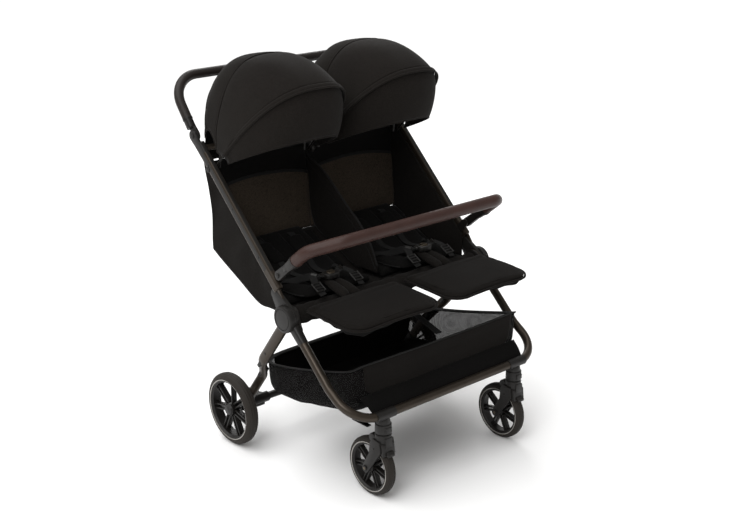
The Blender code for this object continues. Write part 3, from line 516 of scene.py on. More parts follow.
def barOutline(start, end, startRadius, endRadius, steps=8):
    direction = math.atan2(end[1] - start[1], end[0] - start[0])
    outline = []
    for centre, radius, turn in ((end, endRadius, -90), (start, startRadius, 90)):
        for step in range(steps + 1):
            angle = direction + math.radians(turn + 180 * step / steps)
            outline.append((centre[0] + radius * math.cos(angle), centre[1] + radius * math.sin(angle)))
    return outline


def piece(name, bm, material, body, standsFor=(), wall=0.0, levels=0, smooth=38, fix=True):
    if fix:
        bmesh.ops.recalc_face_normals(bm, faces=bm.faces)
    mesh = bpy.data.meshes.new(name)
    bm.to_mesh(mesh)
    bm.free()
    mesh.shade_smooth()
    mesh.set_sharp_from_angle(angle=math.radians(smooth))
    made = bpy.data.objects.new(name, mesh)
    mesh.materials.append(material)
    scene.collection.objects.link(made)
    if wall:
        thick = made.modifiers.new("wall", "SOLIDIFY")
        thick.thickness = wall
        thick.offset = 0
    if levels:
        soft = made.modifiers.new("soft", "SUBSURF")
        soft.levels = levels
        soft.render_levels = levels
    if body:
        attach(made, body)
    if standsFor:
        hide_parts(*standsFor)
    return made


def swell(made, cap, pressure=4.0, voxel=0.005):  # fills a pad with air, then lets it go no further than cap
    remesh = made.modifiers.new("remesh", "REMESH")
    remesh.mode = "VOXEL"
    remesh.voxel_size = voxel
    graph = bpy.context.evaluated_depsgraph_get()
    solid = bpy.data.meshes.new_from_object(made.evaluated_get(graph))
    made.modifiers.clear()
    made.data = solid
    before = [vert.co.copy() for vert in solid.vertices]
    cloth = made.modifiers.new("fill", "CLOTH")
    cloth.settings.use_pressure = True
    cloth.settings.uniform_pressure_force = pressure
    cloth.settings.effector_weights.gravity = 0
    cloth.settings.tension_stiffness = 12
    cloth.settings.compression_stiffness = 12
    cloth.settings.bending_stiffness = 0.4
    cloth.point_cache.frame_start = 1
    cloth.point_cache.frame_end = 20
    for step in range(1, 21):
        scene.frame_set(step)
    graph = bpy.context.evaluated_depsgraph_get()
    filled = bpy.data.meshes.new_from_object(made.evaluated_get(graph))
    made.modifiers.clear()
    for vert, start in zip(filled.vertices, before):
        shift = vert.co - start
        if shift.length > cap:
            vert.co = start + shift.normalized() * cap
    made.data = filled
    filled.shade_smooth()
    scene.frame_set(1)
    soft = made.modifiers.new("soft", "SUBSURF")
    soft.levels = 1
    soft.render_levels = 1


def bake(made):  # applies every modifier
    graph = bpy.context.evaluated_depsgraph_get()
    done = bpy.data.meshes.new_from_object(made.evaluated_get(graph))
    made.modifiers.clear()
    made.data = done
    return made


# ---- frame tubes
frontFrame = {
    "tube": 0.012, "tubeX": 0.350, "slope": 223.6, "bend": (-0.277, 0.313), "crossbar": (-0.380, 0.248),
    "corner": 0.085
}


def makeFrontFrame():
    top = away(hub, frontFrame["slope"], 0.030)
    half = [
        (frontFrame["tubeX"], *top), (frontFrame["tubeX"], *frontFrame["bend"]),
        (frontFrame["tubeX"], *frontFrame["crossbar"])
    ]
    path = roundedPath(half + [(-x, y, z) for x, y, z in reversed(half)], frontFrame["corner"], 12)
    bm = bmesh.new()
    sweep(bm, path, frontFrame["tube"], corners=24)
    piece("frontTube", bm, bronze, "front_frame", ["front_leg_frame"])
    for word, side in sides:
        bm = bmesh.new()
        start = away(hub, frontFrame["slope"], 0.026)
        end = away(hub, frontFrame["slope"], 0.082)
        sweep(
            bm, [(side * 0.350, *start), (side * 0.350, *end)], 0.0135, 0.0150, corners=24, across=(1, 0, 0),
            power=3, taper=lambda t: 1.0 - 0.12 * t
        )
        seam = [(side * 0.350, *away(hub, frontFrame["slope"], along)) for along in (0.196, 0.1985)]
        sweep(bm, seam, 0.0124, corners=24)
        piece(f"legSleeve_{word}", bm, plastic, "front_frame")


hubLook = {"radius": 0.0375, "face": 0.375, "back": 0.3562}


def makeHub(word, side):
    y, z = hub
    r = hubLook["radius"]
    face, back = hubLook["face"], hubLook["back"]
    profile = [
        (back, 0.0), (back, r - 0.001), (back + 0.001, r), (face - 0.0065, r), (face - 0.003, r - 0.0012),
        (face - 0.0012, r - 0.004)
    ]
    profile += [
        (face - 0.0010, r - 0.0075), (face - 0.0026, r - 0.0083), (face - 0.0026, r - 0.0098),
        (face - 0.0012, r - 0.0106), (face - 0.0002, 0.012), (face, 0.0)
    ]
    bm = bmesh.new()
    lathe(bm, [(side * x, radius) for x, radius in profile], (0, y, z), 64, closed=False)
    piece(f"hubCap_{word}", bm, plastic, "rails", [f"hub_cap_{word}"], smooth=30)
    bm = bmesh.new()
    yzSlab(bm, barOutline(hub, away(hub, 44.8, 0.075), 0.034, 0.015), side * 0.3440, side * 0.3565, 0.0015)
    piece(f"railBoot_{word}", bm, plastic, "rails")
    bm = bmesh.new()
    yzSlab(
        bm, barOutline(hub, away(hub, frontFrame["slope"], 0.040), 0.0330, 0.013), side * 0.3362,
        side * 0.3424, 0.001
    )
    piece(f"hubHousing_{word}", bm, plastic, "front_frame", [f"hub_housing_{word}"])


def makeRail(word, side):
    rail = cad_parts[f"rail_{word}"]
    rail.data.materials.clear()
    rail.data.materials.append(bronze)
    bm = bmesh.new()
    sweep(
        bm, [(side * 0.3592, *railPoint(0.040)), (side * 0.3592, *railPoint(0.440))], 0.0006, 0.0065,
        corners=12, across=(1, 0, 0), power=6
    )
    sweep(
        bm,
        [
            (side * 0.3500, *away(railPoint(0.036), 134, 0.0142)),
            (side * 0.3500, *away(railPoint(0.452), 134, 0.0142))
        ],
        0.0048, 0.0007, corners=12, across=(1, 0, 0), power=6
    )
    for along in (0.10, 0.245, 0.40):
        spot = railPoint(along)
        drum(bm, (side * 0.3585, *spot), (side * 0.3608, *spot), 0.0036, 0.0030, 0.0004, 20)
    piece(f"railGroove_{word}", bm, plastic, "rails")
    bm = bmesh.new()
    sweep(
        bm, [(side * 0.350, *railPoint(0.030)), (side * 0.350, *railPoint(0.064))], 0.0098, 0.0148,
        corners=28, across=(1, 0, 0), power=5, taper=lambda t: 1.0 - 0.05 * t
    )
    drum(bm, (side * 0.3585, *canopyPivot), (side * 0.3612, *canopyPivot), 0.0085, 0.0075, 0.0006, 28)
    piece(f"railEnd_{word}", bm, plastic, "rails")


rearLeg = {"slope": math.degrees(math.atan2(0.106 - hub[1], 0.153 - hub[0])), "tube": 0.0115, "lowX": 0.312}


def makeRearLeg(word, side):
    axle = (0.153, 0.106)
    slope = rearLeg["slope"]
    path = roundedPath(
        [
            (side * 0.350, *away(hub, slope, 0.030)),
            (side * 0.350, *away(hub, slope, 0.205)),
            (side * rearLeg["lowX"], *away(hub, slope, 0.290)),
            (side * rearLeg["lowX"], *axle),
        ],
        0.06, 8,
    )
    bm = bmesh.new()
    sweep(bm, path, 0.0095, 0.0145, corners=24, across=(1, 0, 0), power=2.6, taper=lambda t: 1.10 - 0.18 * t)
    yzSlab(bm, barOutline(hub, away(hub, slope, 0.055), 0.033, 0.0135), side * 0.3431, side * 0.3489, 0.0012)
    drum(bm, (side * 0.3265, *axle), (side * 0.369, *axle), 0.005, bevel=0.0005)
    piece(f"rearLeg_{word}", bm, bronze, "rear_legs", [f"rear_leg_{word}"])
    bm = bmesh.new()
    drum(bm, (side * 0.298, *axle), (side * 0.328, *axle), 0.0165, bevel=0.0015)
    sweep(
        bm,
        [(side * 0.312, *away(axle, slope + 180, 0.004)), (side * 0.312, *away(axle, slope + 180, 0.070))],
        0.0125, 0.0150, corners=24, across=(1, 0, 0), power=3, taper=lambda t: 1 - 0.14 * t
    )
    block(bm, (side * 0.306, axle[0] + 0.012, axle[1] - 0.012), (0.018, 0.034, 0.024), 0.003, 10)
    spot = away(hub, slope, 0.165)
    drum(bm, (side * 0.3585, *spot), (side * 0.3612, *spot), 0.0038, bevel=0.0005)
    for along in (0.212, 0.274):
        spot = away(hub, slope, along)
        across = 0.350 - 0.038 * (along - 0.205) / 0.085
        block(bm, (side * across, *spot), (0.0235, 0.032, 0.010), 0.002, slope)
    piece(f"rearFoot_{word}", bm, plastic, "rear_legs")


def makeRearAxle():
    for name in ("rear_axle_tube", "back_cross_tube"):
        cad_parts[name].data.materials.clear()
        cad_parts[name].data.materials.append(bronze)
    bm = bmesh.new()
    for side in (-1, 1):
        sweep(
            bm, [(side * 0.300, 0.153, 0.106), (side * 0.232, 0.153, 0.106)], 0.0145, 0.0130, corners=20,
            power=3
        )
        block(bm, (side * 0.262, 0.153, 0.094), (0.030, 0.018, 0.016), 0.003)
    sweep(bm, [(-0.235, 0.153, 0.106), (0.235, 0.153, 0.106)], 0.0106, corners=20)
    piece("axleSleeve", bm, plastic, "rear_legs")
    bm = bmesh.new()
    outline = [
        (0.1665, 0.095), (0.184, 0.0945), (0.206, 0.1035), (0.213, 0.112), (0.211, 0.121), (0.200, 0.1195),
        (0.182, 0.1125), (0.1665, 0.117)
    ]
    yzSlab(bm, outline, -0.295, -0.238, 0.0025)
    for step in range(5):
        block(bm, (-0.288 + 0.0107 * step, 0.206, 0.1165), (0.003, 0.012, 0.004), 0.0008, 35)
    piece("brakePedal", bm, plastic, "brake", ["brake_pedal"])


pushBar = {"radius": 0.0137, "length": 0.1825, "corner": 0.085}


def makePushBar():
    start = away(pushBarPivot, pushBarSlope, 0.050)
    top = away(pushBarPivot, pushBarSlope, pushBar["length"])
    path = roundedPath(
        [(0.350, *start), (0.350, *top), (-0.350, *top), (-0.350, *start)], pushBar["corner"], 14
    )
    bm = bmesh.new()
    sweep(bm, path, pushBar["radius"], corners=24)
    piece("pushBarGrip", bm, gripLeather, "handle", ["handle_bar"])
    bm = bmesh.new()  # the stitched seam along the inside of the grip
    inside = roundedPath(
        [
            (0.3366, *start), (0.3366, *away(pushBarPivot, pushBarSlope, pushBar["length"] - 0.0134)),
            (-0.3366, *away(pushBarPivot, pushBarSlope, pushBar["length"] - 0.0134)), (-0.3366, *start)
        ],
        0.0716, 14
    )
    sweep(bm, inside, 0.0012, corners=8)
    piece("pushBarSeam", bm, gripLeather, "handle")
    for word, side in sides:
        bm = bmesh.new()
        low = away(pushBarPivot, pushBarSlope, 0.024)
        mid = away(pushBarPivot, pushBarSlope, 0.053)
        sweep(
            bm, [(side * 0.350, *low), (side * 0.350, *mid)], 0.0120, 0.0128, corners=24, across=(1, 0, 0),
            power=2.6
        )
        ringA = away(pushBarPivot, pushBarSlope, 0.0500)
        ringB = away(pushBarPivot, pushBarSlope, 0.0545)
        sweep(bm, [(side * 0.350, *ringA), (side * 0.350, *ringB)], 0.0144, corners=24)
        yzSlab(bm, barOutline(pushBarPivot, low, 0.0155, 0.012), side * 0.3415, side * 0.3500, 0.0015)
        piece(f"pushBarSocket_{word}", bm, plastic, "handle")
        bm = bmesh.new()
        yzSlab(
            bm, barOutline(pushBarPivot, railPoint(0.034), 0.0155, 0.0125), side * 0.3505, side * 0.3592,
            0.0015
        )
        drum(bm, (side * 0.3585, *pushBarPivot), (side * 0.3618, *pushBarPivot), 0.0085, 0.0075, 0.0006)
        piece(f"foldKnuckle_{word}", bm, plastic, "rails")
    for name in ("fold_latch_housing", "canopy_mount_middle"):
        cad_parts[name].data.materials.clear()
        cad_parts[name].data.materials.append(plastic)
    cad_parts["fold_button"].data.materials.clear()
    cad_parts["fold_button"].data.materials.append(gunmetal)


bumper = {"radius": 0.0172, "slope": 141.0, "arm": 0.093, "top": (-0.141, 0.229)}


def makeBumper():
    start = away(bumperPivot, bumper["slope"], bumper["arm"] - 0.004)
    shoulder = away(bumperPivot, bumper["slope"], bumper["arm"] + 0.055)
    half = [(0.350, *start), (0.350, *shoulder), (0.275, *fromHub(*bumper["top"]))]
    path = roundedPath(half + [(-x, y, z) for x, y, z in reversed(half)], 0.045, 12)
    bm = bmesh.new()
    sweep(bm, path, bumper["radius"], corners=28)
    piece("bumperGrip", bm, bumperLeather, "bumper", ["bumper_bar"])
    bm = bmesh.new()
    under = [(x * 0.999, y + 0.010, z - 0.0142) for x, y, z in path[2:-2]]
    sweep(bm, under, 0.0011, corners=8)
    piece("bumperSeam", bm, bumperLeather, "bumper")
    for word, side in sides:
        bm = bmesh.new()
        near = away(bumperPivot, bumper["slope"], 0.0)
        knee = away(bumperPivot, bumper["slope"], 0.052)
        end = away(bumperPivot, bumper["slope"], bumper["arm"] - 0.006)
        yzSlab(bm, barOutline(near, knee, 0.0135, 0.0115), side * 0.3428, side * 0.3572, 0.002)
        sweep(
            bm, [(side * 0.350, *knee), (side * 0.350, *end)], 0.0125, 0.0150, corners=20, across=(1, 0, 0),
            power=3.2, taper=lambda t: 0.9 + 0.18 * t
        )
        sweep(
            bm,
            [
                (side * 0.350, *away(bumperPivot, bumper["slope"], 0.083)),
                (side * 0.350, *away(bumperPivot, bumper["slope"], 0.093))
            ],
            0.0182, corners=28
        )
        block(
            bm, (side * 0.3585, *away(bumperPivot, bumper["slope"], 0.050)), (0.004, 0.026, 0.012), 0.0015,
            bumper["slope"]
        )
        drum(bm, (side * 0.3565, *near), (side * 0.3600, *near), 0.0075, 0.0065, 0.0006, 24)
        piece(f"bumperArm_{word}", bm, plastic, "bumper", [f"bumper_arm_{word}"])
        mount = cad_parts[f"bumper_mount_{word}"]
        mount.data.materials.clear()
        mount.data.materials.append(plastic)


makeFrontFrame()
makeRearAxle()
makePushBar()
makeBumper()
for word, side in sides:
    makeHub(word, side)
    makeRail(word, side)
    makeRearLeg(word, side)
print("frame tubes ready")


# ---- wheels and casters
rearWheel = {
    "x": 0.354, "y": 0.153, "radius": 0.106, "half": 0.0205, "ring": 0.0885, "hub": 0.0185, "cap": 0.0150,
    "spokes": 7, "gap": 0.0125, "spoke": 0.0046
}
frontWheel = {
    "x": 0.249, "y": -0.332, "radius": 0.082, "half": 0.0168, "ring": 0.0690, "hub": 0.0150, "cap": 0.0120,
    "spokes": 7, "gap": 0.0100, "spoke": 0.0042
}


def makeWheel(kind, word, side, size):
    x, y, r, half, ring = side * size["x"], size["y"], size["radius"], size["half"], size["ring"]
    body = f"{kind}_wheel_{word}"
    crown = []
    for step in range(25):
        t = -1 + step / 12
        lift = (1 - abs(t) ** 3.2) * (r - ring - 0.0025)
        if step in (5, 9, 15, 19):
            lift -= 0.0013
        crown.append((t * half, ring + 0.0025 + lift - max(0, abs(t) - 0.9) * 0.002))
    bm = bmesh.new()
    lathe(bm, [(half * 0.86, ring)] + [(-a, b) for a, b in crown] + [(-half * 0.86, ring)], (x, y, r), 80)
    piece(f"{kind}Tyre_{word}", bm, tyreRubber, body, [f"{kind}_tyre_{word}"], smooth=50)
    bm = bmesh.new()
    inner = ring - 0.0085
    lathe(
        bm,
        [
            (half * 0.80, ring - 0.0004), (-half * 0.80, ring - 0.0004), (-half * 0.80, inner + 0.003),
            (-half * 0.62, inner), (half * 0.62, inner), (half * 0.80, inner + 0.003)
        ],
        (x, y, r), 80
    )
    lathe(
        bm,
        [
            (half * 0.98, size["hub"] * 0.55), (half * 0.95, size["cap"]), (half * 0.70, size["hub"]),
            (-half * 0.70, size["hub"]), (-half * 0.95, size["cap"]), (-half * 0.98, size["hub"] * 0.55)
        ],
        (x, y, r), 40
    )
    for index in range(size["spokes"]):
        angle = math.tau * index / size["spokes"] + math.pi / 2
        for lean in (-1, 1):
            reach = (size["hub"] + ring) / 2 - 0.001
            length = ring - size["hub"] - 0.001
            verts = bmesh.ops.create_cube(
                bm, size=1.0, matrix=Matrix.Diagonal((half * 0.85, length, size["spoke"], 1))
            )["verts"]
            bmesh.ops.bevel(
                bm, geom=list({e for v in verts for e in v.link_edges}), offset=0.0011, segments=2,
                profile=0.5, affect="EDGES", material=-1
            )
            fresh = [v for v in bm.verts if not v.tag]
            bmesh.ops.transform(
                bm,
                matrix=Matrix.Translation((x, y, r)) @ Matrix.Rotation(angle, 4, "X") @ Matrix.Translation(
                    (0, reach, lean * size["gap"] / 2)
                ),
                verts=[v for v in fresh if v.co.length < 0.09 and abs(v.co.x) < half]
            )
        for v in bm.verts:
            v.tag = True
    piece(f"{kind}WheelCentre_{word}", bm, plastic, body, [f"{kind}_wheel_{word}"], smooth=32)
    bm = bmesh.new()
    for end in (-1, 1):
        lathe(
            bm,
            [
                (end * half * 0.80, ring + 0.0016), (end * half * 0.92, ring + 0.0016),
                (end * half * 0.96, ring + 0.0004), (end * half * 0.92, ring - 0.0014),
                (end * half * 0.80, ring - 0.0014)
            ],
            (x, y, r), 80
        )
    piece(f"{kind}Ring_{word}", bm, silver, body, smooth=40)
    bm = bmesh.new()
    lathe(
        bm,
        [
            (side * half * 0.94, 0.0), (side * half * 0.94, size["cap"] * 0.80),
            (side * half * 1.00, size["cap"] * 0.66), (side * half * 1.01, 0.0)
        ],
        (x, y, r), 40, closed=False
    )
    piece(f"{kind}WheelCap_{word}", bm, plastic, body, smooth=30)


caster = {"x": 0.249, "stem": -0.374, "radius": 0.0222, "socketLow": 0.1955, "skirt": 0.1325}


def makeCaster(word, side):
    x, stem, r = side * caster["x"], caster["stem"], caster["radius"]
    bm = bmesh.new()
    drum(bm, (x, stem, 0.1955), (x, stem, 0.222), r, r * 1.0, 0.0012, 40)
    drum(bm, (x, stem, 0.2215), (x, stem, 0.240), r * 0.90, r * 0.74, 0.0012, 40)
    drum(bm, (x, stem, 0.170), (x, stem, 0.197), 0.008, bevel=0.0005)
    block(bm, (x, stem - r + 0.0006, 0.2085), (0.020, 0.004, 0.014), 0.0010)
    sweep(bm, [(x - 0.032, -0.380, 0.248), (x + 0.032, -0.380, 0.248)], 0.0135, corners=24)
    piece(f"casterSocket_{word}", bm, plastic, "front_frame", [f"caster_socket_{word}"])
    body = f"caster_{word}"
    bm = bmesh.new()
    drum(bm, (x, stem, 0.150), (x, stem, 0.1935), r, r, 0.0012, 40)
    drum(bm, (x, stem, 0.1885), (x, stem, 0.1915), r + 0.0006, bevel=0.0006, segments=40)
    yzOutline = [
        (stem - r - 0.003, 0.137), (stem - r + 0.002, 0.1335), (stem + 0.006, 0.158),
        (stem + r - 0.001, 0.163), (stem + r, 0.176), (stem - r + 0.001, 0.170)
    ]
    yzSlab(bm, yzOutline, x - 0.0215, x + 0.0215, 0.003)
    block(bm, (x, stem - r + 0.0008, 0.172), (0.024, 0.004, 0.028), 0.0012)
    drum(
        bm, (x - 0.019, stem + r + 0.001, 0.176), (x + 0.019, stem + r + 0.001, 0.176), 0.0125, bevel=0.0015,
        segments=32
    )
    for end in (-1, 1):
        outline = [away((-0.332, 0.082), 196 + 24 * step, 0.0135) for step in range(8)]
        outline += [
            (stem + 0.028, 0.132), (stem + 0.025, 0.166), (stem + 0.012, 0.180), (stem - 0.012, 0.176),
            (stem - 0.017, 0.146)
        ]
        inner, outer = x + end * 0.0202, x + end * 0.0262
        yzSlab(bm, outline, inner, outer, 0.0014)
        drum(
            bm, (outer - end * 0.001, -0.332, 0.082), (outer + end * 0.0030, -0.332, 0.082), 0.0078, 0.0070,
            0.0006, 28
        )
        drum(
            bm, (outer - end * 0.001, stem + 0.010, 0.150), (outer + end * 0.0012, stem + 0.010, 0.150),
            0.0032, bevel=0.0004, segments=16
        )
    drum(bm, (x - 0.0225, -0.332, 0.082), (x + 0.0225, -0.332, 0.082), 0.004, bevel=0.0004, segments=20)
    piece(f"casterFork_{word}", bm, plastic, body, [f"caster_fork_{word}"])
    bm = bmesh.new()
    for end in (-1, 1):
        drum(
            bm, (x + end * 0.0288, -0.332, 0.082), (x + end * 0.0298, -0.332, 0.082), 0.0042, bevel=0.0003,
            segments=6
        )
    piece(f"casterBolt_{word}", bm, gunmetal, body)
    bm = bmesh.new()
    yzSlab(
        bm,
        [
            (stem - r - 0.0125, 0.1365), (stem - r - 0.011, 0.1345), (stem - r + 0.001, 0.1395),
            (stem - r + 0.001, 0.1475), (stem - r - 0.004, 0.1480), (stem - r - 0.0115, 0.1425)
        ],
        x - 0.0115, x + 0.0115, 0.0015
    )
    piece(f"swivelLock_{word}", bm, plastic, f"swivel_lock_{word}", [f"swivel_lock_{word}"])


for word, side in sides:
    makeWheel("rear", word, side, rearWheel)
    makeWheel("front", word, side, frontWheel)
    makeCaster(word, side)
print("wheels ready")


# ---- soft goods
def padShape(bm, columns, rows, place):  # place(u, v, top) gives both faces of a pad, joined around its edge
    bmesh.ops.create_grid(bm, x_segments=columns, y_segments=rows, size=0.5)
    made = bmesh.ops.extrude_face_region(bm, geom=bm.faces[:])["geom"]
    top = {item for item in made if isinstance(item, bmesh.types.BMVert)}
    for vert in bm.verts:
        vert.co = place(vert.co.x + 0.5, vert.co.y + 0.5, vert in top)


def wrinkle(point, size, depth):
    return depth * noise.noise(Vector(point) / size)


def alongPath(path, share):
    lengths = [0.0]
    for a, b in zip(path, path[1:]):
        lengths.append(lengths[-1] + (Vector(b) - Vector(a)).length)
    goal = share * lengths[-1]
    for index in range(len(path) - 1):
        if goal <= lengths[index + 1] or index == len(path) - 2:
            part = (goal - lengths[index]) / max(lengths[index + 1] - lengths[index], 1e-9)
            return Vector(path[index]).lerp(Vector(path[index + 1]), part)


def hubPath(points, steps=5):  # a smooth curve through (back, up) points, as x = 0 vectors
    return smoothPath([(0, *fromHub(*p)) for p in points], steps)


seat = {
    "inner": 0.011,
    "outer": 0.330,
    "floor": [(0.044, 0.004), (0.100, 0.003), (0.150, 0.004), (0.240, 0.048), (0.341, 0.098)],
    "wall": [(0.341, 0.098), (0.352, 0.200), (0.361, 0.301), (0.367, 0.345)],
    "seatPad": (0.047, 0.143),
    "backPad": (0.158, 0.326),
    "backSlope": 26.2,
}
floorPath = hubPath(seat["floor"])
wallPath = hubPath(seat["wall"])


def makeSling():
    bm = bmesh.new()

    def floorPlace(u, v):
        spot = alongPath(floorPath, v)
        return Vector(((u - 0.5) * 0.674, spot.y, spot.z - 0.0015 + wrinkle((u * 3, v * 2, 0), 0.3, 0.001)))

    gridSheet(bm, 40, 24, floorPlace)
    floor = piece("seatFloor", bm, seatCloth, "rails", ["seat_sling"], wall=0.0025)
    for word, side in sides:
        def archShare(u):
            return 0.66 + 0.085 * math.sin(math.pi * min(max(u, 0), 1)) ** 0.7

        def wallPlace(u, v, low, high):
            share = low(u) + (high(u) - low(u)) * v
            spot = alongPath(wallPath, share)
            x = side * u * 0.3366
            sag = 0.010 * math.sin(math.pi * u) * math.sin(math.pi * min(share, 1.0))
            return Vector(
                (x, spot.y + sag + wrinkle((x * 1.0, share * 0.25, 3 * side), 0.055, 0.0022), spot.z)
            )

        bm = bmesh.new()
        gridSheet(bm, 44, 26, lambda u, v: wallPlace(u, v, lambda a: 0.0, archShare))
        mesh = piece(f"rearMesh_{word}", bm, meshCloth, "rails", ["seat_sling"], wall=0.0022)
        bm = bmesh.new()
        gridSheet(bm, 44, 12, lambda u, v: wallPlace(u, v, archShare, lambda a: 1.0))
        window = piece(f"rearWindow_{word}", bm, padCloth, "rails", wall=0.0018)
        bm = bmesh.new()
        binding = [
            wallPlace(
                step / 40, 1.0, lambda a: 0.0, archShare
            ) + Vector((0, -0.0022, 0)) for step in range(41)
        ]
        sweep(bm, binding, 0.0045, 0.0016, corners=12, across=(0, 0.3, 1), power=2.6)
        edge = [wallPlace(step / 40, 1.0, archShare, lambda a: 1.0) for step in range(41)]
        sweep(bm, edge, 0.0022, corners=10)
        piece(f"rearBinding_{word}", bm, webbing, "rails")


def makeSidePanel(word, side):
    lower = smoothPath(
        [
            (0, *fromHub(*p)) for p in [(0.044, 0.000), (0.100, -0.002), (0.150, -0.001), (0.240, 0.042), (0.342, 0.092), (0.356, 0.112), (0.353, 0.200), (0.364, 0.270), (0.377, 0.318), (0.382, 0.345)]
        ],
        6
    )
    upper = [
        (0, *fromHub(0.044, 0.045)), (0, *railPoint(0.500)), (0, *railPoint(0.250)), (0, *railPoint(0.058))
    ]

    def place(u, v):
        low = alongPath(lower, u)
        high = alongPath(upper, u)
        spot = low.lerp(high, v)
        free = math.sin(math.pi * v) ** 0.6 * min(1, 6 * u, 6 * (1 - u))
        fold = 0.5 + 0.5 * math.sin(u * 31 + 2.2 * math.sin(v * 3 + u * 7))
        fold = 0.65 * fold + 0.7 * abs(noise.noise(Vector((u * 6, v * 1.3, side * 5))))
        return Vector((side * (0.3374 - 0.0055 * free * fold), spot.y, spot.z))

    bm = bmesh.new()
    gridSheet(bm, 90, 26, place)
    panel = piece(f"sidePanel_{word}", bm, seatCloth, "rails", [f"side_panel_{word}"], wall=0.0016, smooth=80)
    bm = bmesh.new()
    sweep(bm, [(side * 0.3376, p.y, p.z) for p in lower[2:]], 0.0014, 0.0030, corners=10, across=(1, 0, 0))
    piece(f"sideBinding_{word}", bm, webbing, "rails")


def makeDivider():
    top = smoothPath(
        [
            (0, *fromHub(*p)) for p in [(0.046, 0.050), (0.075, 0.108), (0.119, 0.156), (0.180, 0.202), (0.270, 0.274), (0.352, 0.315)]
        ],
        8
    )
    base = smoothPath(
        [
            (0, *fromHub(*p)) for p in [(0.046, 0.030), (0.100, 0.029), (0.150, 0.029), (0.230, 0.068), (0.330, 0.118), (0.352, 0.298)]
        ],
        8
    )

    def place(u, v, isTop):
        spot = alongPath(base, u).lerp(alongPath(top, u), v)
        edge = math.sin(math.pi * v) ** 0.4 * min(1, 9 * u, 9 * (1 - u))
        crown = 0.0014 + 0.0033 * edge
        shift = wrinkle((u * 2.2, v * 0.6, 1), 0.22, 0.0018) * edge
        return Vector(((crown if isTop else -crown) + shift, spot.y, spot.z))

    bm = bmesh.new()
    padShape(bm, 80, 22, place)
    made = piece("divider", bm, seatCloth, "rails", ["divider_panel"], smooth=80)
    bm = bmesh.new()
    sweep(bm, top, 0.0026, corners=12)
    sweep(
        bm, [p + (q - p) * 0.10 + Vector((0, 0.004, -0.009)) for p, q in zip(top, base)], 0.0052, 0.0007,
        corners=8, across=(1, 0, 0)
    )
    piece("dividerPiping", bm, webbing, "rails")


def padBlock(name, word, side, start, end, slope, body, node):
    middle = ((start[0] + end[0]) / 2, (start[1] + end[1]) / 2)
    deep = math.hypot(end[0] - start[0], end[1] - start[1])
    bm = bmesh.new()
    half = (seat["outer"] - seat["inner"]) / 2 - 0.004
    centre = side * (seat["outer"] + seat["inner"]) / 2
    place = Matrix.Translation((centre, *middle)) @ Matrix.Rotation(math.radians(slope), 4, "X")

    def shape(u, v, isTop):
        across, back = 2 * u - 1, 2 * v - 1
        pull = 1 - 0.020 * (1 - back * back)
        crown = 0.0055 + 0.0038 * (1 - across ** 6) * (1 - back ** 4)
        spot = Vector(
            (
                across * half * pull, back * (deep / 2 - 0.003) * (1 - 0.03 * (1 - across * across)),
                crown if isTop else -0.0075
            )
        )
        return place @ spot

    padShape(bm, 48, 20, shape)
    made = piece(f"{name}_{word}", bm, padCloth, body, [node], smooth=70, levels=1)
    swell(made, 0.004)
    return made


def makePads(word, side):
    low, high = seat["seatPad"]
    padBlock("seatPad", word, side, fromHub(low, 0.016), fromHub(high, 0.016), 0, "rails", f"seat_pad_{word}")
    slope = seat["backSlope"]
    first = fromHub(seat["backPad"][0], 0.018)
    last = fromHub(
        seat["backPad"][1], 0.018 + (seat["backPad"][1] - seat["backPad"][0]) * math.tan(math.radians(slope))
    )
    padBlock("backPad", word, side, first, last, slope, f"backrest_{word}", f"back_pad_{word}")


liner = {
    "half": 0.116,
    "path": [
        (0.022, 0.0285), (0.050, 0.0300), (0.100, 0.0298), (0.140, 0.0305), (0.170, 0.0385), (0.230, 0.0680),
        (0.322, 0.1140)
    ],
}
linerPath = hubPath(liner["path"], 6)


def linerSpot(share, lift):  # a point on the liner's middle line, raised square to it
    spot = alongPath(linerPath, share)
    along = (
        alongPath(linerPath, min(share + 0.02, 1)) - alongPath(linerPath, max(share - 0.02, 0))
    ).normalized()
    return spot + Vector((0, -along.z, along.y)) * lift


def linerWidth(v):
    width = 1.0
    if v < 0.20:
        width = 1 - 0.34 * (1 - math.sqrt(max(0, 1 - ((0.20 - v) / 0.20) ** 2)))
    return width * (1 - 0.05 * max(0, v - 0.75) / 0.25)


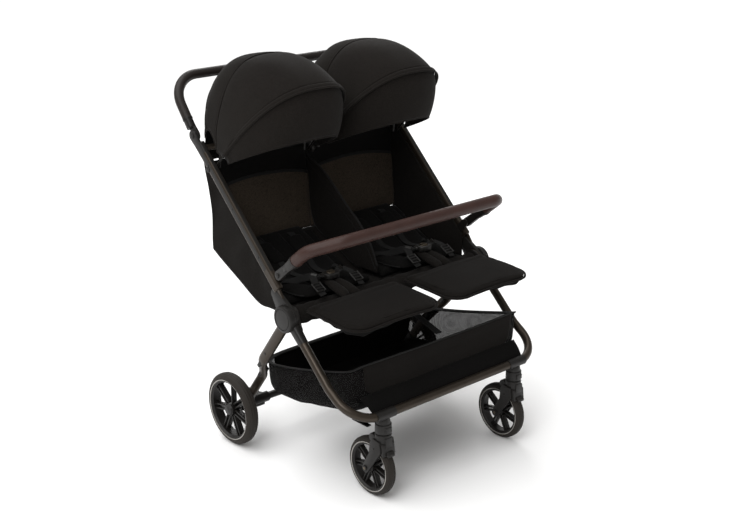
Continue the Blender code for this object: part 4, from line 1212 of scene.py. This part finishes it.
def makeLiner(word, side):
    def place(u, v, isTop):
        across = 2 * u - 1
        lobes = max(0, math.sin(math.pi * (abs(across) - 0.28) / 0.72)) ** 0.55 if abs(across) > 0.28 else 0
        channel = max(0, math.cos(math.pi * across / 0.56)) ** 0.6 if abs(across) < 0.28 else 0
        ends = min(1, (v / 0.07) ** 0.5 if v < 0.07 else 1, ((1 - v) / 0.06) ** 0.5 if v > 0.94 else 1)
        height = 0.0030 + (0.0115 * lobes + 0.0045 * channel) * ends
        height += wrinkle((across * 0.12, v * 0.34, side * 2), 0.05, 0.0012) * lobes
        spot = linerSpot(v, height if isTop else 0.0)
        spot.x = side * seatMiddle + across * liner["half"] * linerWidth(v)
        return spot

    bm = bmesh.new()
    padShape(bm, 72, 60, place)
    made = piece(f"liner_{word}", bm, padCloth, None, smooth=70)
    bend = (side * seatMiddle, *fromHub(0.150, 0.030))
    before = (bend[0], bend[1] - 0.022, bend[2])
    after = (bend[0], bend[1] + 0.026, bend[2] + 0.010)
    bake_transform(made)
    bm = bmesh.new()
    for lane in (-1, -0.28, 0.28, 1):
        line = []
        for step in range(2, 58):
            v = step / 59
            spot = linerSpot(v, 0.0036 if abs(lane) < 1 else 0.0022)
            spot.x = side * seatMiddle + lane * liner["half"] * linerWidth(v)
            line.append(spot)
        sweep(bm, line, 0.0011 if abs(lane) < 1 else 0.0021, corners=8)
    seams = piece(f"linerSeams_{word}", bm, webbing, None)
    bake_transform(seams)
    return before, after


def strapPath(points):
    return smoothPath(points, 7)


def makeHarness(word, side, before, after):
    x = side * seatMiddle
    buckleY, buckleZ = fromHub(0.040, 0.0690)
    for lane in (-1, 1):
        bm = bmesh.new()

        def place(u, v, isTop):
            share = 0.60 + 0.27 * v
            across = 2 * u - 1
            ends = min(1, (10 * v) ** 0.5, (10 * (1 - v)) ** 0.5)
            crown = 0.0035 + 0.0085 * (1 - across ** 4) ** 0.5 * ends
            spot = linerSpot(share, 0.0105 + (crown if isTop else -0.002))
            spot.x = x + lane * 0.052 + across * 0.0245 * (1 - 0.10 * (1 - ends)) + (0.010 * lane * (v - 0.5))
            return spot

        padShape(bm, 20, 34, place)
        pad = piece(f"shoulderPad_{word}_{lane + 2}", bm, padCloth, f"backrest_{word}", smooth=70, levels=1)
        bm = bmesh.new()
        top = linerSpot(0.97, 0.012)
        upper = linerSpot(0.885, 0.016)
        lower = linerSpot(0.585, 0.015)
        middle = linerSpot(0.46, 0.013)
        near = linerSpot(0.30, 0.020)
        points = [
            (x + lane * 0.060, top.y, top.z - 0.006), (x + lane * 0.057, upper.y, upper.z), (
                x + lane * 0.049, linerSpot(0.74, 0.019).y, linerSpot(0.74, 0.019).z
            ),
            (x + lane * 0.046, lower.y, lower.z), (x + lane * 0.040, middle.y, middle.z), (x + lane * 0.032, near.y, near.z), (
                x + lane * 0.022, buckleY + 0.006, buckleZ
            ),
        ]
        sweep(bm, strapPath(points), 0.0105, 0.0009, corners=12, across=(1, 0.0, 0), power=5)
        strap = piece(f"shoulderStrap_{word}_{lane + 2}", bm, webbing, None)
        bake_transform(strap)
        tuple(before)
        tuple(after)
        bm = bmesh.new()
        side1 = linerSpot(0.36, 0.004)
        side2 = linerSpot(0.30, 0.014)
        lap = [
            (x + lane * 0.118, side1.y + 0.004, side1.z), (
                x + lane * 0.100, side1.y - 0.002, side1.z + 0.012
            ), (x + lane * 0.072, side2.y - 0.010, side2.z + 0.006),
            (
                x + lane * 0.046, buckleY + 0.018, buckleZ + 0.001
            ), (x + lane * 0.022, buckleY + 0.004, buckleZ),
        ]
        sweep(bm, strapPath(lap), 0.0105, 0.0009, corners=12, across=(0.2 * lane, 1, 0.1), power=5)
        tail = [
            (x + lane * 0.052, buckleY + 0.014, buckleZ + 0.004),
            (x + lane * 0.064, buckleY - 0.010, buckleZ - 0.004),
            (x + lane * 0.068, buckleY - 0.036, buckleZ - 0.020),
            (x + lane * 0.067, buckleY - 0.052, buckleZ - 0.030)
        ]
        sweep(bm, strapPath(tail), 0.0105, 0.0009, corners=12, across=(1, 0.15 * lane, 0), power=5)
        piece(f"lapStrap_{word}_{lane + 2}", bm, webbing, "rails")
        bm = bmesh.new()
        for offset in (-0.0125, -0.004, 0.0045, 0.0125):
            spot = (x + lane * 0.0665, buckleY - 0.030 + offset, buckleZ - 0.013 + offset * 0.55)
            sweep(
                bm, [(spot[0] - 0.0135, spot[1], spot[2]), (spot[0] + 0.0135, spot[1], spot[2])], 0.0017,
                corners=10
            )
        for end in (-1, 1):
            sweep(
                bm,
                [
                    (x + lane * 0.0665 + end * 0.0135, buckleY - 0.0435, buckleZ - 0.0204),
                    (x + lane * 0.0665 + end * 0.0135, buckleY - 0.0165, buckleZ - 0.0056)
                ],
                0.0021, corners=10
            )
        sweep(
            bm,
            [
                (x + lane * 0.043, buckleY + 0.006, buckleZ + 0.004),
                (x + lane * 0.050, buckleY + 0.022, buckleZ + 0.005)
            ],
            0.0050, 0.0030, corners=16, power=4
        )
        piece(f"strapSlider_{word}_{lane + 2}", bm, plastic, "rails", smooth=40)
    bm = bmesh.new()

    def crotch(u, v, isTop):
        across = 2 * u - 1
        y, z = fromHub(-0.050 + 0.112 * v, 0.0425 + 0.008 * v)
        width = 0.031 * (0.70 + 0.30 * math.sin(math.pi * min(1, 0.25 + v * 0.9)))
        lobes = abs(math.sin(math.pi * across)) ** 0.6
        rim = min(1, (8 * v) ** 0.5, (8 * (1 - v)) ** 0.5)
        crown = 0.0030 + (0.0030 + 0.0060 * lobes) * rim
        notch = 0.012 * max(0, 1 - abs(across) * 3) * max(0, 1 - v * 5)
        return Vector(
            (x + across * width, y + notch, z + (crown if isTop else -0.001) - 0.010 * (1 - v) ** 2)
        )

    padShape(bm, 32, 40, crotch)
    pad = piece(f"crotchPad_{word}", bm, seatCloth, "rails", [f"harness_buckle_{word}"], smooth=70)
    bm = bmesh.new()
    sweep(
        bm,
        strapPath(
            [
                (x, *fromHub(0.056, 0.028)), (x, *fromHub(0.058, 0.042)), (x, *fromHub(0.050, 0.056)),
                (x, *fromHub(0.040, 0.062))
            ]
        ),
        0.016, 0.0012, corners=12, across=(1, 0, 0), power=5
    )
    piece(f"crotchStrap_{word}", bm, webbing, "rails")
    bm = bmesh.new()
    outline = []
    for step in range(24):
        angle = math.tau * step / 24
        reach = [
            math.copysign(abs(math.cos(angle)) ** 0.65, math.cos(angle)),
            math.copysign(abs(math.sin(angle)) ** 0.65, math.sin(angle))
        ]
        outline.append((x + 0.0235 * reach[0], buckleY + 0.0185 * reach[1], buckleZ - 0.0085))
    slab(bm, outline, (0, 0, 0.0150), 0.003, 3)
    for lane in (-1, 1):
        block(bm, (x + lane * 0.0235, buckleY + 0.006, buckleZ), (0.012, 0.019, 0.0085), 0.002, 0, 12 * lane)
    piece(f"buckle_{word}", bm, plastic, "rails", smooth=40)
    bm = bmesh.new()
    ring = [
        (
            x + 0.0118 * math.cos(math.tau * s / 28), buckleY + 0.0105 * math.sin(math.tau * s / 28),
            buckleZ + 0.0066
        ) for s in range(28)
    ]
    sweep(bm, ring, 0.0008, corners=8, closed=True)
    piece(f"buckleRing_{word}", bm, gunmetal, "rails")


legRest = {
    "inner": 0.016, "outer": 0.331, "back": -0.040, "front": -0.246, "low": 0.018, "high": 0.040,
    "corner": 0.052
}


def makeLegRest(word, side):
    half = (legRest["outer"] - legRest["inner"]) / 2
    centre = side * (legRest["outer"] + legRest["inner"]) / 2
    long = legRest["back"] - legRest["front"]
    turnIn = legRest["corner"] / long

    def edgeWidth(v):
        if v < 1 - turnIn:
            return 1.0
        part = (v - 1 + turnIn) / turnIn
        return 1 - legRest["corner"] / half * (1 - math.sqrt(max(0, 1 - part * part)))

    def place(u, v, isTop):
        across = 2 * u - 1
        y, z = fromHub(legRest["back"] - (long - 0.003) * v, 0.029)
        rim = min(1, (1 - abs(across)) * half / 0.016, (1 - v) * long / 0.016 + 0.02, v * long / 0.012 + 0.3)
        rim = math.sqrt(max(0, 1 - (1 - rim) ** 2))
        hump = 0.0024 * math.sin(math.pi * min(1, v * 1.1)) * (1 - across ** 4)
        crease = 0.0022 * math.sin(v * 46 + across * 3) * max(0, 1 - v * 3.4) * (0.4 + 0.6 * abs(across))
        crown = 0.0022 + 0.0048 * rim + hump
        drop = 0.0050 * (v ** 3) + 0.0035 * across * across * v
        lift = crown + crease if isTop else -0.0022 - 0.0040 * rim
        return Vector((centre + across * half * edgeWidth(v), y, z + lift - drop))

    bm = bmesh.new()
    padShape(bm, 64, 48, place)
    made = piece(f"legRest_{word}", bm, seatCloth, f"leg_rest_{word}", [f"leg_rest_{word}"], smooth=70)
    swell(made, 0.0035, 3.0)
    bm = bmesh.new()
    inset = 0.016
    loop = []
    for step in range(160):
        share = step / 160
        angle = math.tau * share
        reach = 3.6
        across = math.copysign(abs(math.cos(angle)) ** (2 / reach), math.cos(angle))
        along = math.copysign(abs(math.sin(angle)) ** (2 / reach), math.sin(angle))
        u = 0.5 + across * (half - inset) / half / 2 * 0.995
        v = 0.53 + along * (0.47 - inset / long)
        spot = place(min(max(u, 0), 1), v, True)
        loop.append(spot + Vector((0, 0, 0.0022)))
    sweep(bm, loop, 0.0013, corners=8, closed=True)
    border = []
    for step in range(121):
        share = step / 120
        if share < 0.4:
            u, v = 0.0, 0.06 + (0.94) * share / 0.4
        elif share < 0.6:
            u, v = (share - 0.4) / 0.2, 1.0
        else:
            u, v = 1.0, 1 - 0.94 * (share - 0.6) / 0.4
        top = place(u, v, True)
        border.append(top.lerp(place(u, v, False), 0.5))
    sweep(bm, border, 0.0034, corners=10)
    piece(f"legRestPiping_{word}", bm, seatCloth, f"leg_rest_{word}", smooth=60)

    def skirt(u, v):
        share = u
        if share < 0.55:
            edge = place(0.0 if side < 0 else 1.0, 0.10 + 0.85 * share / 0.55, False)
        else:
            part = (share - 0.55) / 0.45
            edge = place((0.0 + 0.85 * part) if side < 0 else (1.0 - 0.85 * part), 0.95, False)
        inward = Vector((centre, fromHub(-0.13, 0)[0], edge.z)) - edge
        deep = 0.019 * math.sin(math.pi * min(1, 0.12 + 0.9 * share)) ** 0.5
        return edge + inward * 0.06 + inward * 0.05 * v + Vector(
            (0, 0, 0.002 - deep * v + 0.0015 * math.sin(share * 40) * v)
        )

    bm = bmesh.new()
    gridSheet(bm, 60, 8, skirt)
    valance = piece(f"valance_{word}", bm, padCloth, f"leg_rest_{word}", wall=0.0014, smooth=80)


def makeFrontRoll():
    bm = bmesh.new()
    path = [(-0.3325 + 0.665 * step / 90, *fromHub(0, 0)) for step in range(91)]
    sweep(bm, path, 0.0245, 0.0245, corners=40, across=(0, 0, 1), power=2.2)
    for vert in bm.verts:
        offset = Vector((0, vert.co.y - hub[0], vert.co.z - hub[1]))
        if offset.length > 0.001:
            ridge = 0.0013 * math.sin(vert.co.x * 95 + 2.5 * math.sin(vert.co.x * 21) + offset.z * 40)
            vert.co += offset.normalized() * (ridge + wrinkle(vert.co, 0.03, 0.0018) - 0.0004)
    made = piece("frontRoll", bm, seatCloth, "seat_front", ["seat_front_roll"], smooth=80)


makeSling()
makeDivider()
makeFrontRoll()
for word, side in sides:
    makeSidePanel(word, side)
    makePads(word, side)
    edges = makeLiner(word, side)
    makeHarness(word, side, *edges)
    makeLegRest(word, side)
    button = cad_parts[f"buckle_button_{word}"]
    button.data.materials.clear()
    button.data.materials.append(gunmetal)
print("seats ready")


# ---- canopies
canopy = {
    "profile": [
        (54.0, 0.176, 24.0), (66.0, 0.242, 19.0), (81.0, 0.286, 15.0), (97.0, 0.303, 14.0),
        (109.0, 0.318, 14.0), (122.0, 0.333, 14.0), (135.0, 0.346, 14.0)
    ],
    "half": 0.163,
    "flare": 0.008,
    "power": 2.7,
}


def canopyRow(degrees):  # height and first turn at an angle, smooth between the arches
    rows = canopy["profile"]
    rows = [tuple(2 * a - b for a, b in zip(rows[0], rows[1]))] + rows + [
        tuple(2 * a - b for a, b in zip(rows[-1], rows[-2]))
    ]
    for a, b, c, d in zip(rows, rows[1:], rows[2:], rows[3:]):
        if degrees <= c[0] + 1e-6:
            t = (degrees - b[0]) / (c[0] - b[0])
            return [
                0.5 * (
                    2 * b[k] + (c[k] - a[k]) * t + (
                        2 * a[k] - 5 * b[k] + 4 * c[k] - d[k]
                    ) * t * t + (3 * b[k] - a[k] - 3 * c[k] + d[k]) * t ** 3
                ) for k in (1, 2)
            ]
    return list(rows[-2][1:])


def archPoint(middle, halfWide, height, degrees, turned):
    c, s = math.cos(math.radians(turned)), math.sin(math.radians(turned))
    across = math.copysign(abs(c) ** (2 / canopy["power"]), c) * halfWide
    return Vector((middle + across, *away(canopyPivot, degrees, height * abs(s) ** (2 / canopy["power"]))))


def canopyWidth(degrees):
    return canopy["half"] + canopy["flare"] * min(max((degrees - 80) / 55, 0), 1)


def shellPoint(middle, degrees, share, lift=0.0):
    height, first = canopyRow(degrees)
    reach = min(max((degrees - 74) / 30, 0), 1)
    first -= 9.5 * reach * reach * (3 - 2 * reach)
    turned = first + (180 - 2 * first) * share
    tuck = 0.0075 * min(max((14 - min(turned, 180 - turned)) / 9, 0), 1)  # the wings pass inside the rails
    return archPoint(middle, canopyWidth(degrees) + lift - tuck, height + lift, degrees, turned)


visorRows = [
    (135.6, 0.3425, 0.170, 4.8), (140.0, 0.3290, 0.166, 5.2), (148.0, 0.2950, 0.161, 5.8),
    (157.4, 0.2530, 0.157, 6.5)
]


def visorPoint(middle, share, v, lift=0.0):
    spots = v * (len(visorRows) - 1)
    index = min(int(spots), len(visorRows) - 2)
    part = spots - index
    a, b = visorRows[index], visorRows[index + 1]
    degrees, height, halfWide, first = [p + (q - p) * part for p, q in zip(a, b)]
    height += 0.004 * math.sin(math.pi * v) + lift
    turned = first + (180 - 2 * first) * share
    tuck = 0.0070 * min(max((14 - min(turned, 180 - turned)) / 9, 0), 1)
    return archPoint(middle, halfWide + lift - tuck, height, degrees, turned)


def makeCanopy(word, side):
    middle = side * seatMiddle

    def place(u, v):
        degrees = 54.0 + 81.0 * v
        point = shellPoint(middle, degrees, u)
        valley = 0.0
        for seamAt in (68.0, 97.0):
            valley += math.exp(-((degrees - seamAt) / 2.2) ** 2) * 0.0016
        crumple = wrinkle(
            (u * 0.5, v * 0.3, side * 7), 0.045, 0.0022
        ) * min(1, 5 * u, 5 * (1 - u)) * (1 - v * 0.5)
        outward = (point - Vector((middle, *canopyPivot))).normalized()
        return point + outward * (crumple - valley)

    bm = bmesh.new()
    gridSheet(bm, 72, 56, place)
    shell = piece(f"canopy_{word}", bm, canopyCloth, None, [f"canopy_shell_{word}"], wall=0.0026, smooth=80)
    bake(shell)
    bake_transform(shell)
    bm = bmesh.new()
    for seamAt in (68.0, 97.0):
        sweep(
            bm, [shellPoint(middle, seamAt, step / 60, 0.0008) for step in range(61)], 0.0016, 0.0013,
            corners=8
        )
    for share in (0.0, 1.0):
        sweep(
            bm, [shellPoint(middle, 54.0 + 81.0 * step / 40, share) for step in range(41)], 0.0030, 0.0024,
            corners=10
        )
    sweep(bm, [shellPoint(middle, 54.0, step / 60, 0.0005) for step in range(61)], 0.0030, 0.0026, corners=10)
    seams = piece(f"canopySeams_{word}", bm, canopyCloth, None, smooth=60)
    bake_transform(seams)
    bm = bmesh.new()
    lip = [
        archPoint(
            middle, 0.1735 - 0.008 * (1 - math.sin(math.pi * step / 90)) ** 3, 0.3500, 136.2,
            7 + 166 * step / 90
        ) for step in range(91)
    ]
    sweep(
        bm, lip, 0.0075, 0.0030, corners=16,
        across=(0, math.cos(math.radians(46.2)), math.sin(math.radians(46.2))), power=2.4
    )
    sweep(
        bm,
        [
            archPoint(middle, 0.1745 - 0.008 * (1 - math.sin(math.pi * step / 90)) ** 3, 0.3515, 137.3, 7 + 166 * step / 90) for step in range(91)
        ],
        0.0030, corners=12
    )
    piece(f"canopyLip_{word}", bm, canopyCloth, f"canopy_{word}", smooth=60)
    bm = bmesh.new()
    gridSheet(
        bm, 64, 20, lambda u,
        v: visorPoint(middle, u, v) + Vector((0, wrinkle((u * 0.5, v * 0.1, side * 9), 0.06, 0.0015), 0))
    )
    visor = piece(f"visorCloth_{word}", bm, canopyCloth, None, [f"visor_{word}"], wall=0.0024, smooth=80)
    bake(visor)
    top = visorPoint(middle, 0.5, 0.0)
    low = visorPoint(middle, 0.5, 1.0)
    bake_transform(visor)
    bm = bmesh.new()
    sweep(bm, [visorPoint(middle, step / 70, 1.0) for step in range(71)], 0.0026, 0.0020, corners=10)
    piece(f"visorHem_{word}", bm, canopyCloth, f"visor_{word}", smooth=60)

    def backPlace(u, v):
        top = shellPoint(middle, 54.0, u)
        base = Vector((middle + (2 * u - 1) * -0.170, 0.2630, 0.8120))
        spot = top.lerp(base, v)
        spot.y += 0.006 * math.sin(math.pi * v) * math.sin(math.pi * u) + wrinkle(
            (u, v, side), 0.18, 0.002
        ) * math.sin(math.pi * v)
        return spot

    bm = bmesh.new()
    gridSheet(bm, 48, 22, backPlace)
    back = piece(f"canopyBack_{word}", bm, padCloth, "rails", wall=0.0016, smooth=80)
    for bow in (f"canopy_brim_bow_{word}", f"canopy_mid_bow_{word}"):
        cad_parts[bow].data.materials.clear()
        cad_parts[bow].data.materials.append(plastic)


for word, side in sides:
    makeCanopy(word, side)
print("canopies ready")


# ---- basket
basket = {
    "stations": [
        (-0.330, 0.288, 0.375, 0.292, 0.300), (-0.296, 0.238, 0.357, 0.305, 0.312),
        (-0.110, 0.190, 0.305, 0.310, 0.316), (0.022, 0.170, 0.276, 0.300, 0.310),
        (0.070, 0.176, 0.270, 0.270, 0.285)
    ],
    "radius": 0.045,
}


def basketRow(share):
    rows = basket["stations"]
    rows = [tuple(2 * a - b for a, b in zip(rows[0], rows[1]))] + rows + [
        tuple(2 * a - b for a, b in zip(rows[-1], rows[-2]))
    ]
    spots = share * (len(rows) - 3)
    index = min(int(spots), len(rows) - 4)
    t = spots - index
    a, b, c, d = rows[index:index + 4]
    row = [
        0.5 * (
            2 * q + (r - p) * t + (2 * p - 5 * q + 4 * r - s) * t * t + (3 * q - p - 3 * r + s) * t ** 3
        ) for p,
        q, r, s in zip(a, b, c, d)
    ]
    near = min(row[0] - basket["stations"][0][0], basket["stations"][-1][0] - row[0])
    part = min(max(1 - near / 0.030, 0), 1)
    pinch = 0.020 * (1 - math.sqrt(max(0, 1 - part * part)))  # the corners are rounded in plan
    return row[:3] + [row[3] - pinch, row[4] - pinch]


def basketSection(share, across):  # 0 at the right top edge, 1 at the left top edge
    y, low, high, lowHalf, highHalf = basketRow(share)
    tall = min(basket["radius"], (high - low) * 0.45)
    path = roundedPath(
        [(-highHalf, y, high), (-lowHalf, y, low), (lowHalf, y, low), (highHalf, y, high)], tall, 6
    )
    return alongPath(path, across)


def crumpleFold(made):
    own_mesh(made)


def makeBasket():
    cut = (0.135, 0.865)

    def floorPlace(u, v):
        spot = basketSection(v, cut[0] + (cut[1] - cut[0]) * u)
        spot.y += 0.005 * (2 * v - 1) ** 9
        sag = 0.010 * math.sin(math.pi * u) * math.sin(math.pi * v)
        return spot + Vector((0, 0, -sag + wrinkle((spot.x * 0.6, spot.y, 2), 0.05, 0.004)))

    bm = bmesh.new()
    gridSheet(bm, 70, 40, floorPlace)
    floor = piece("basketFloor", bm, padCloth, "front_frame", ["storage_basket"], wall=0.0020, smooth=80)
    bake(floor)
    crumpleFold(floor)
    for word, side in sides:
        low, high = (cut[0], 0.0) if side < 0 else (cut[1], 1.0)

        def sidePlace(u, v):
            spot = basketSection(u, low + (high - low) * v)
            bulge = 0.004 * math.sin(math.pi * v) * math.sin(math.pi * u)
            return spot + Vector(
                (side * (bulge + wrinkle((spot.y, spot.z, side), 0.06, 0.003) * v * (1 - v) * 3), 0, 0)
            )

        bm = bmesh.new()
        gridSheet(bm, 60, 16, sidePlace)
        wall = piece(f"basketSide_{word}", bm, netCloth, "front_frame", wall=0.0012, smooth=80)
        bake(wall)
        crumpleFold(wall)

    def endPlace(share, bulge):
        def place(u, v):
            y, low, high, lowHalf, highHalf = basketRow(share)
            z = low - 0.006 + (high - low + 0.006) * v
            drop = math.sqrt(max(0, 1 - (1 - min(1, v / 0.45)) ** 2))
            half = (lowHalf + (highHalf - lowHalf) * v) - basket["radius"] * 0.86 * (1 - drop)
            wave = bulge * math.sin(math.pi * u) ** 0.5 * v
            return Vector(((2 * u - 1) * half, y + wave + wrinkle((u, v, share), 0.25, 0.002), z + 0.001))
        return place

    for name, share, bulge, material in (
        ("basketFront", 0.0, -0.006, seatCloth), ("basketRear", 1.0, 0.006, padCloth)
    ):
        bm = bmesh.new()
        gridSheet(bm, 70, 16, endPlace(share, bulge))
        panel = piece(name, bm, material, "front_frame", wall=0.0020, smooth=80)
        bake(panel)
        crumpleFold(panel)
    bm = bmesh.new()
    rim = [basketSection(step / 40, 0.0) for step in range(41)]
    rim += [endPlace(1.0, 0.006)(step / 40, 1.0) for step in range(1, 40)]
    rim += [basketSection(1 - step / 40, 1.0) for step in range(41)]
    rim += [endPlace(0.0, -0.006)(1 - step / 40, 1.0) for step in range(1, 40)]
    for _ in range(4):
        rim = [(rim[i - 1] + 2 * p + rim[(i + 1) % len(rim)]) / 4 for i, p in enumerate(rim)]
    sweep(bm, rim, 0.0022, 0.0075, corners=12, power=2.6, closed=True)
    hem = piece("basketHem", bm, webbing, "front_frame", smooth=60)
    crumpleFold(hem)

    def gussetPlace(u, v):
        half = 0.292 - 0.010 * v
        y, z = -0.331 - 0.041 * v, 0.290 - 0.036 * v
        return Vector(
            ((2 * u - 1) * half, y - 0.004 * math.sin(math.pi * v), z + wrinkle((u, v, 4), 0.2, 0.001))
        )

    bm = bmesh.new()
    gridSheet(bm, 70, 8, gussetPlace)
    gusset = piece("basketGusset", bm, padCloth, "front_frame", wall=0.0016, smooth=80)
    bake(gusset)
    crumpleFold(gusset)
    bm = bmesh.new()
    path = strapPath([(0, *fromHub(-0.034, -0.022)), (0, *fromHub(-0.120, -0.050)), (0, -0.322, 0.388)])
    ribbed = []
    for step in range(70):
        ribbed.append(alongPath(path, step / 69))
    sweep(bm, ribbed, 0.0110, 0.0012, corners=12, across=(1, 0, 0), power=5)
    for lane in (-0.0066, -0.0022, 0.0022, 0.0066):
        sweep(bm, [p + Vector((lane, -0.0006, 0.0012)) for p in ribbed], 0.0010, corners=6)
    strap = piece("frontStrap", bm, webbing, "front_frame", ["front_strap"])
    crumpleFold(strap)


makeBasket()
print("basket ready")


# ---- studio
def makeStudio():
    floor = bmesh.new()
    bmesh.ops.create_grid(floor, x_segments=1, y_segments=1, size=60)
    mesh = bpy.data.meshes.new("floor")
    floor.to_mesh(mesh)
    floor.free()
    ground = bpy.data.objects.new("floor", mesh)
    ground.location.z = -0.0005
    scene.collection.objects.link(ground)
    made, tree, shader = blankMaterial("floorPaint")
    shader.inputs["Base Color"].default_value = (0.93, 0.93, 0.93, 1)
    shader.inputs["Roughness"].default_value = 0.9
    shader.inputs["Specular IOR Level"].default_value = 0.1
    mesh.materials.append(made)
    world = bpy.data.worlds.new("studio")
    world.use_nodes = True
    tree = world.node_tree
    paper = tree.nodes["Background"]  # what the eye sees behind the stroller
    paper.inputs[0].default_value = (1, 1, 1, 1)
    glow = node(tree, "ShaderNodeBackground", Color=(1, 0.985, 0.965, 1), Strength=studio["sky"])
    mixed = node(tree, "ShaderNodeMixShader")
    tree.links.new(node(tree, "ShaderNodeLightPath").outputs["Is Camera Ray"], mixed.inputs[0])
    tree.links.new(glow.outputs[0], mixed.inputs[1])
    tree.links.new(paper.outputs[0], mixed.inputs[2])
    tree.links.new(mixed.outputs[0], tree.nodes["World Output"].inputs[0])
    scene.world = world
    for name, place, size, power in studio["lamps"]:
        lamp = bpy.data.lights.new(name, "AREA")
        lamp.size = size
        lamp.energy = power
        holder = bpy.data.objects.new(name, lamp)
        holder.location = place
        holder.rotation_euler = (Vector((0, 0, 0.5)) - Vector(place)).to_track_quat("-Z", "Y").to_euler()
        scene.collection.objects.link(holder)
    top = bpy.data.lights.new("topLight", "SUN")
    top.energy = studio["top"]
    top.angle = math.radians(70)
    holder = bpy.data.objects.new("topLight", top)
    holder.rotation_euler = (math.radians(-14), math.radians(-16), 0)
    scene.collection.objects.link(holder)
    scene.view_settings.view_transform = "Standard"


studio = {
    "sky": 0.42,
    "top": 2.5,
    "lamps": (
        ("keyLamp", (-2.4, -1.6, 2.6), 1.4, 42),
        ("backLamp", (1.8, 2.6, 2.6), 1.8, 40),
    ),
}
makeStudio()
